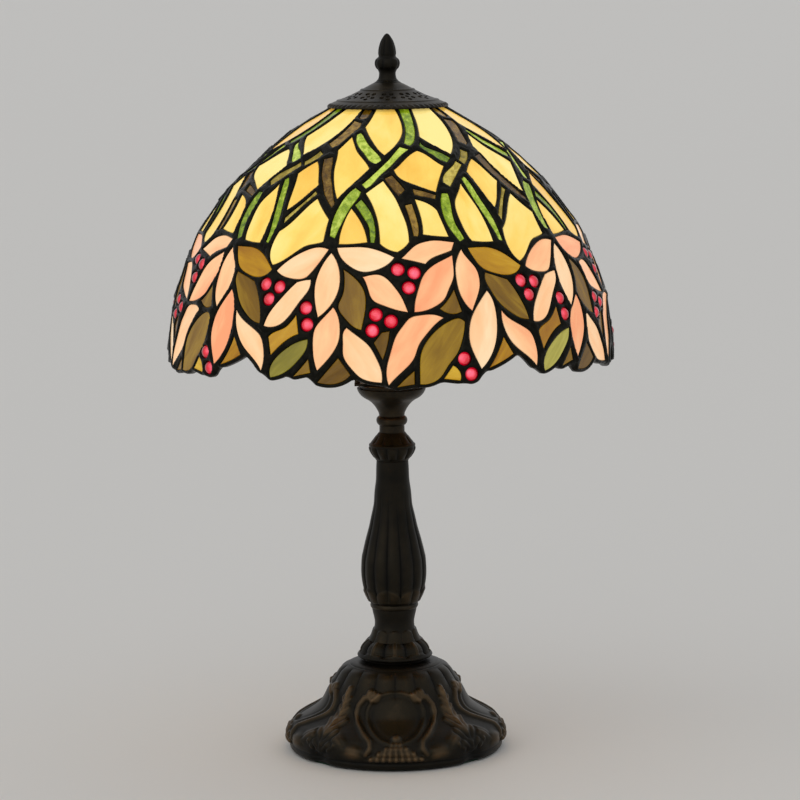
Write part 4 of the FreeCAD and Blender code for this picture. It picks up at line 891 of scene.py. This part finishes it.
def collar_relief(turn, place, radius, height):
    """Nine leaves, each with a vein down its middle."""
    leaves = flat_top(height, 66.8, 78.5, 1.2)
    veins = 1.9 * petals(turn, 9) - 1.1 + 0.5 * bump_of(
        np.abs((turn * 9 / math.tau + 0.5) % 1 - 0.5) * 8, 0.8)
    return leaves * veins


def make_collar(bronze):
    outside = smooth_through([
        (30.8, 59), (29.6, 59.9), (27.5, 60.6), (23, 61.4), (21.5, 62.3), (23.3, 63.2),
        (25.2, 63.9), (25.7, 65.2), (24.6, 66.6), (22.9, 68.2), (22.5, 70), (20.8, 72.6),
        (17.9, 74.9)], 0.35)
    column_casting("leaf_collar_cast", outside, 360, collar_relief, bronze, "leaf_collar")


def spindle_relief(turn, place, radius, height):
    """Ten short leaves round the foot of the spindle."""
    leaf_top = 80.5 + 3.2 * petals(turn, 10)
    return 0.8 * petals(turn, 10) * np.clip((leaf_top - height) / 1.1, 0, 1)


def make_spindle(bronze):
    outside = smooth_through([
        (17.6, 75), (15.9, 78), (14.8, 81), (13.8, 84), (13.5, 86.5), (13.6, 89), (14.2, 92),
        (14.9, 95), (15.3, 97.4)], 0.4)
    column_casting("lower_spindle_cast", outside, 300, spindle_relief, bronze,
                   "lower_spindle")


def vase_relief(turn, place, radius, height):
    """Swelling flutes over the belly that thin out up the neck, with leaf tips at the foot."""
    strength = np.interp(height, [103, 107, 113, 138, 152, 166, 180],
                         [0.3, 1, 1.4, 1.4, 1.0, 0.4, 0])
    flutes = strength * (petals(turn, 14) - 0.72)
    tip = 107.5 + 5.5 * petals(turn + math.pi / 14, 7)
    leaves = np.clip((tip - height) / 1.4, 0, 1) * 0.9 * np.clip((height - 101.5) / 1.5, 0, 1)
    return flutes + leaves


def make_vase(bronze):
    outside = smooth_through([
        (16.2, 101.1), (17.2, 103), (19.6, 108.6), (21.3, 114), (22.2, 122), (21.9, 131),
        (20.9, 136), (18.9, 144.5), (16.6, 153), (14.9, 161), (13.2, 169), (12.5, 177.5),
        (11.4, 186), (11.1, 194), (10.8, 199.4)], 0.7)
    column_casting("fluted_vase_cast", outside, 420, vase_relief, bronze, "fluted_vase")


def knop_relief(turn, place, radius, height):
    """Twelve petals under a band, and twelve more between them above it."""
    lower = 1.5 * (petals(turn, 12) - 0.6) * flat_top(height, 201.2, 208.6, 2)
    band = 0.5 * bump_of(np.abs(height - 210), 0.8)
    upper = 0.7 * (petals(turn + math.pi / 12, 12) - 0.6) * flat_top(height, 211.6, 216, 1.4)
    return lower + band + upper


def make_knop(bronze):
    outside = smooth_through([
        (11.2, 199.6), (12.6, 202), (14.5, 205), (15.4, 207.7), (15.1, 210.5), (13.1, 213),
        (10.9, 216), (8.9, 218.6)], 0.35)
    column_casting("knop_cast", outside, 300, knop_relief, bronze, "knop")


def finial_relief(turn, place, radius, height):
    """Eight ribs up the acorn, and eight on the cup under it."""
    ribs = 0.55 * (petals(turn, 8) - 0.8) * flat_top(height, 472.5, 484, 2.5)
    cup = 0.7 * (petals(turn, 8) - 0.6) * flat_top(height, 464, 470.6, 1.6)
    return ribs + cup


def make_finial(bronze):
    """The acorn, with its threaded hole from below, and the flared washer under it."""
    outside = smooth_through([
        (7.3, 456.1), (6.2, 457.4), (5.7, 459.2), (5.6, 461.2), (6.3, 463.2), (7.6, 465.2),
        (8.2, 467.6), (7.7, 469.8), (6.5, 471.4), (5.7, 472.4), (5.9, 474), (5.8, 476),
        (5.4, 478.4), (4.5, 481.4), (3.1, 484.4), (1.5, 486.7), (0.3, 487.4)], 0.3)
    turned_relief("acorn_finial", outside, [(0.02, 487.4), (0.02, 471.2), (3.25, 471.2),
                                            (3.25, 456.1)], 240, finial_relief, bronze,
                  "finial", ["finial"])
    foot = smooth_through([(8.7, 454.95), (8.5, 455.2), (7.9, 455.5), (7.4, 455.9)], 0.15)
    turned_relief("flared_washer", foot, [(3.4, 455.9), (3.4, 454.95)], 96, level_relief,
                  bronze, "shade", ["finial_washer"])


def level_relief(turn, place, radius, height):
    """No relief."""
    return 0 * height


def crown_relief(turn, place, radius, height):
    """A rope round the rim and two raised rings."""
    rope = 0.35 * np.cos(turn * 60) * flat_top(radius, 38.4, 40.3, 0.7)
    ring = 0.45 * bump_of(np.abs(radius - 33.6), 0.8) + 0.45 * bump_of(
        np.abs(radius - 17.6), 0.8)
    return rope + ring


def make_crown(bronze):
    """The pierced cap: a flared cone with a rosette of holes over each rib."""
    outside = smooth_through([
        (40.3, 438.6), (40.5, 439.4), (39.8, 440.3), (37.4, 441.7), (33.6, 443.3),
        (28.6, 445.2), (24, 447.1), (19.6, 449.3), (15.6, 451.4), (12, 453.3), (9.6, 454.5),
        (8.8, 454.9)], 0.45)
    inside = [(3.5, 454.9), (3.5, 453.65), (9, 453.6), (11.6, 452.1), (15.1, 450.1),
              (19, 448), (23.4, 445.8), (28.1, 443.8), (33.1, 441.9), (36.8, 440.2),
              (38.2, 438.6)]
    piece = turned_relief("pierced_crown", outside, inside, 480, crown_relief, bronze,
                          "shade", ["crown_cap"])
    holes = []
    for rosette in range(12):
        way = 2 * math.pi * rosette / 12
        centre = Vector((math.sin(way), -math.cos(way), 0)) * 25.6
        holes.append((centre, 1.25))
        for petal in range(5):
            turn = way + 2 * math.pi * petal / 5
            reach = Vector((math.sin(turn), -math.cos(turn), 0)) * 4.1
            holes.append((centre + reach, 1.55))
    drilled(piece, [((spot.x * MM, spot.y * MM, 0.436), size * MM) for spot, size in holes],
            "Z", 0.024)


# ---------------------------------------------------------------- finishes

def finish(names, material):
    """Gives carried-over CAD nodes a material."""
    for name in names:
        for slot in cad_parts[name].material_slots:
            slot.material = material


GLASS_STEP = 2.5
GRIND = 0.35  # how far the edge of a piece is ground off
TINT_STEP, TINT_START = 0.618034, 0.37  # each piece's tint, 0 to 1, is a step on
SHEET_STEP = 0.754878
SHEET_LENGTH, SHEET_WIDTH = 3.1, 2.3  # metres over which the pieces are spread


def cut_glass(name, material, slot):
    """Stands for a node of flat glass: the same outlines, with the edges ground off, and
    each piece's place on its sheet."""
    points, faces, sheet, tints = [], [], [], []
    for number, loop in enumerate(outer_loops(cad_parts[name])):
        loop = evenly(loop, GLASS_STEP)
        count = len(loop)
        middle = loop.mean(axis=0)
        spin = np.cross(loop - middle, np.roll(loop, -1, axis=0) - middle).sum(axis=0)
        normal = spin / np.linalg.norm(spin)
        along = np.linalg.svd(loop - middle)[2][0]
        across = np.cross(normal, along)
        tangent = np.roll(loop, -1, axis=0) - np.roll(loop, 1, axis=0)
        inward = np.cross(normal, tangent)
        inward /= np.linalg.norm(inward, axis=1)[:, None] + 1e-9
        layers = [loop + inward * GRIND, loop - normal * GRIND,
                  loop - normal * (GLASS_THICKNESS - 0.1)]
        start = len(points)
        tint = (number * TINT_STEP + TINT_START) % 1
        offset = np.array([tint * SHEET_LENGTH, (number * SHEET_STEP) % 1 * SHEET_WIDTH])
        for layer in layers:
            points.extend(layer * MM)
            flat = np.stack([(layer - middle) @ along, (layer - middle) @ across], axis=1)
            sheet.extend(np.column_stack([flat * MM + offset, np.zeros(count)]))
            tints.extend([tint] * count)
        faces.append(tuple(range(start, start + count)))
        for level in range(2):
            low = start + level * count
            for index in range(count):
                beside = (index + 1) % count
                faces.append((low + beside, low + index, low + count + index,
                              low + count + beside))
        faces.append(tuple(range(start + 3 * count - 1, start + 2 * count - 1, -1)))
    piece = piece_from(slot + "_pieces", points, faces, material, "shade", [name])
    mesh = piece.data
    mesh.attributes.new("sheet", "FLOAT_VECTOR", "POINT").data.foreach_set(
        "vector", np.array(sheet, dtype=np.float32).ravel())
    mesh.attributes.new("tint", "FLOAT", "POINT").data.foreach_set(
        "value", np.array(tints, dtype=np.float32))
    mesh.polygons.foreach_set("use_smooth", [False] * len(mesh.polygons))
    mesh.update()


def finish_glass():
    cream = opal_glass("opal_cream", linear(240, 182, 70), linear(252, 210, 100),
                       linear(255, 228, 136), 26, 2.2, 0.43, 90)
    pink = opal_glass("opal_pink", linear(250, 160, 112), linear(254, 196, 142),
                      linear(254, 218, 172), 34, 3.2, 0.43, 110)
    olive = opal_glass("streaky_olive", linear(86, 60, 6), linear(120, 88, 12),
                       linear(160, 126, 30), 62, 6, 0.4, 120)
    green = opal_glass("streaky_green", linear(92, 88, 26), linear(132, 122, 42),
                       linear(176, 168, 78), 62, 5, 0.4, 120)
    amber = opal_glass("streaky_amber", linear(144, 94, 10), linear(182, 134, 18),
                       linear(212, 172, 54), 50, 4, 0.42, 120)
    vine_green = opal_glass("mottled_green", linear(66, 92, 12), linear(134, 158, 28),
                            linear(200, 216, 92), 230, 1.2, 0.42, 420)
    vine_olive = opal_glass("mottled_olive", linear(94, 84, 18), linear(146, 126, 38),
                            linear(200, 180, 84), 230, 1.2, 0.42, 420)
    vine_brown = opal_glass("mottled_brown", linear(50, 34, 6), linear(98, 72, 20),
                            linear(150, 118, 46), 230, 1.2, 0.42, 420)
    slots = ["cream_glass", "pink_glass", "olive_glass", "green_leaf_glass", "amber_glass",
             "vine_green_glass", "vine_olive_glass", "vine_brown_glass"]
    for name, slot, material in zip(GLASS_NODES, slots, (
            cream, pink, olive, green, amber, vine_green, vine_olive, vine_brown)):
        cut_glass(name, material, slot)
    finish(["berry_cabochons"], ruby_glass())


def finish_hardware(bronze_plain):
    brass = mottled("warm_brass", linear(196, 158, 88), linear(226, 190, 118), 160, 0.3, 1, 0.05)
    steel = mottled("zinc_steel", linear(150, 152, 156), linear(186, 188, 190), 240, 0.36, 1,
                    0.05)
    iron = mottled("rough_iron", linear(62, 58, 54), linear(96, 88, 80), 130, 0.66, 0.8, 0.5)
    felt = mottled("green_felt", linear(24, 46, 34), linear(40, 66, 50), 900, 0.95, 0, 0.6)
    black = mottled("black_plastic", linear(26, 26, 27), linear(38, 37, 37), 420, 0.42, 0, 0.1)
    phenolic = mottled("phenolic", linear(44, 30, 24), linear(64, 44, 34), 300, 0.36, 0, 0.1)
    board = mottled("sleeve_board", linear(206, 196, 170), linear(226, 218, 196), 420, 0.9, 0,
                    0.2)
    frosted = mottled("frosted_bulb", linear(255, 206, 140), linear(255, 222, 170), 40, 0.5, 0,
                      0.03, glow=0.6)
    finish(["base_pad"], felt)
    finish(["base_weight"], iron)
    finish(["weight_washer", "lower_pipe_nut", "upper_pipe_nut", "threaded_pipe",
            "centre_contact", "bulb_filament_mount"], steel)
    finish(["cord_inlet_bushing", "switch_knob"], black)
    finish(["column_ring", "upper_neck", "socket_cup", "cup_deck", "harp_saddle"],
           bronze_plain)
    finish(["harp", "harp_sleeves", "harp_stud", "seat_washer", "socket_cap",
            "socket_shell", "bulb_screw_shell", "switch_spindle", "shade_top_ring",
            "spider_plate", "crown_spacer", "bulb_cap"], brass)
    finish(["switch_block"], phenolic)
    finish(["socket_insulating_sleeve"], board)
    finish(["bulb_glass"], frosted)


# ---------------------------------------------------------------- the whole lamp


make_camera()
make_stage()
cast = aged_bronze("cast_bronze", linear(16, 15, 10), linear(40, 35, 24), linear(92, 74, 52))
plain = mottled("plain_bronze", linear(28, 25, 18), linear(56, 48, 34), 90, 0.42, 0.75, 0.25)
lead = mottled("blackened_solder", linear(16, 16, 12), linear(34, 33, 26), 260, 0.36, 0.85, 0.2)
finish_glass()
finish_hardware(plain)
make_solder(lead)
make_foot(cast)
make_collar(cast)
make_spindle(cast)
make_vase(cast)
make_knop(cast)
make_crown(plain)
make_finial(cast)
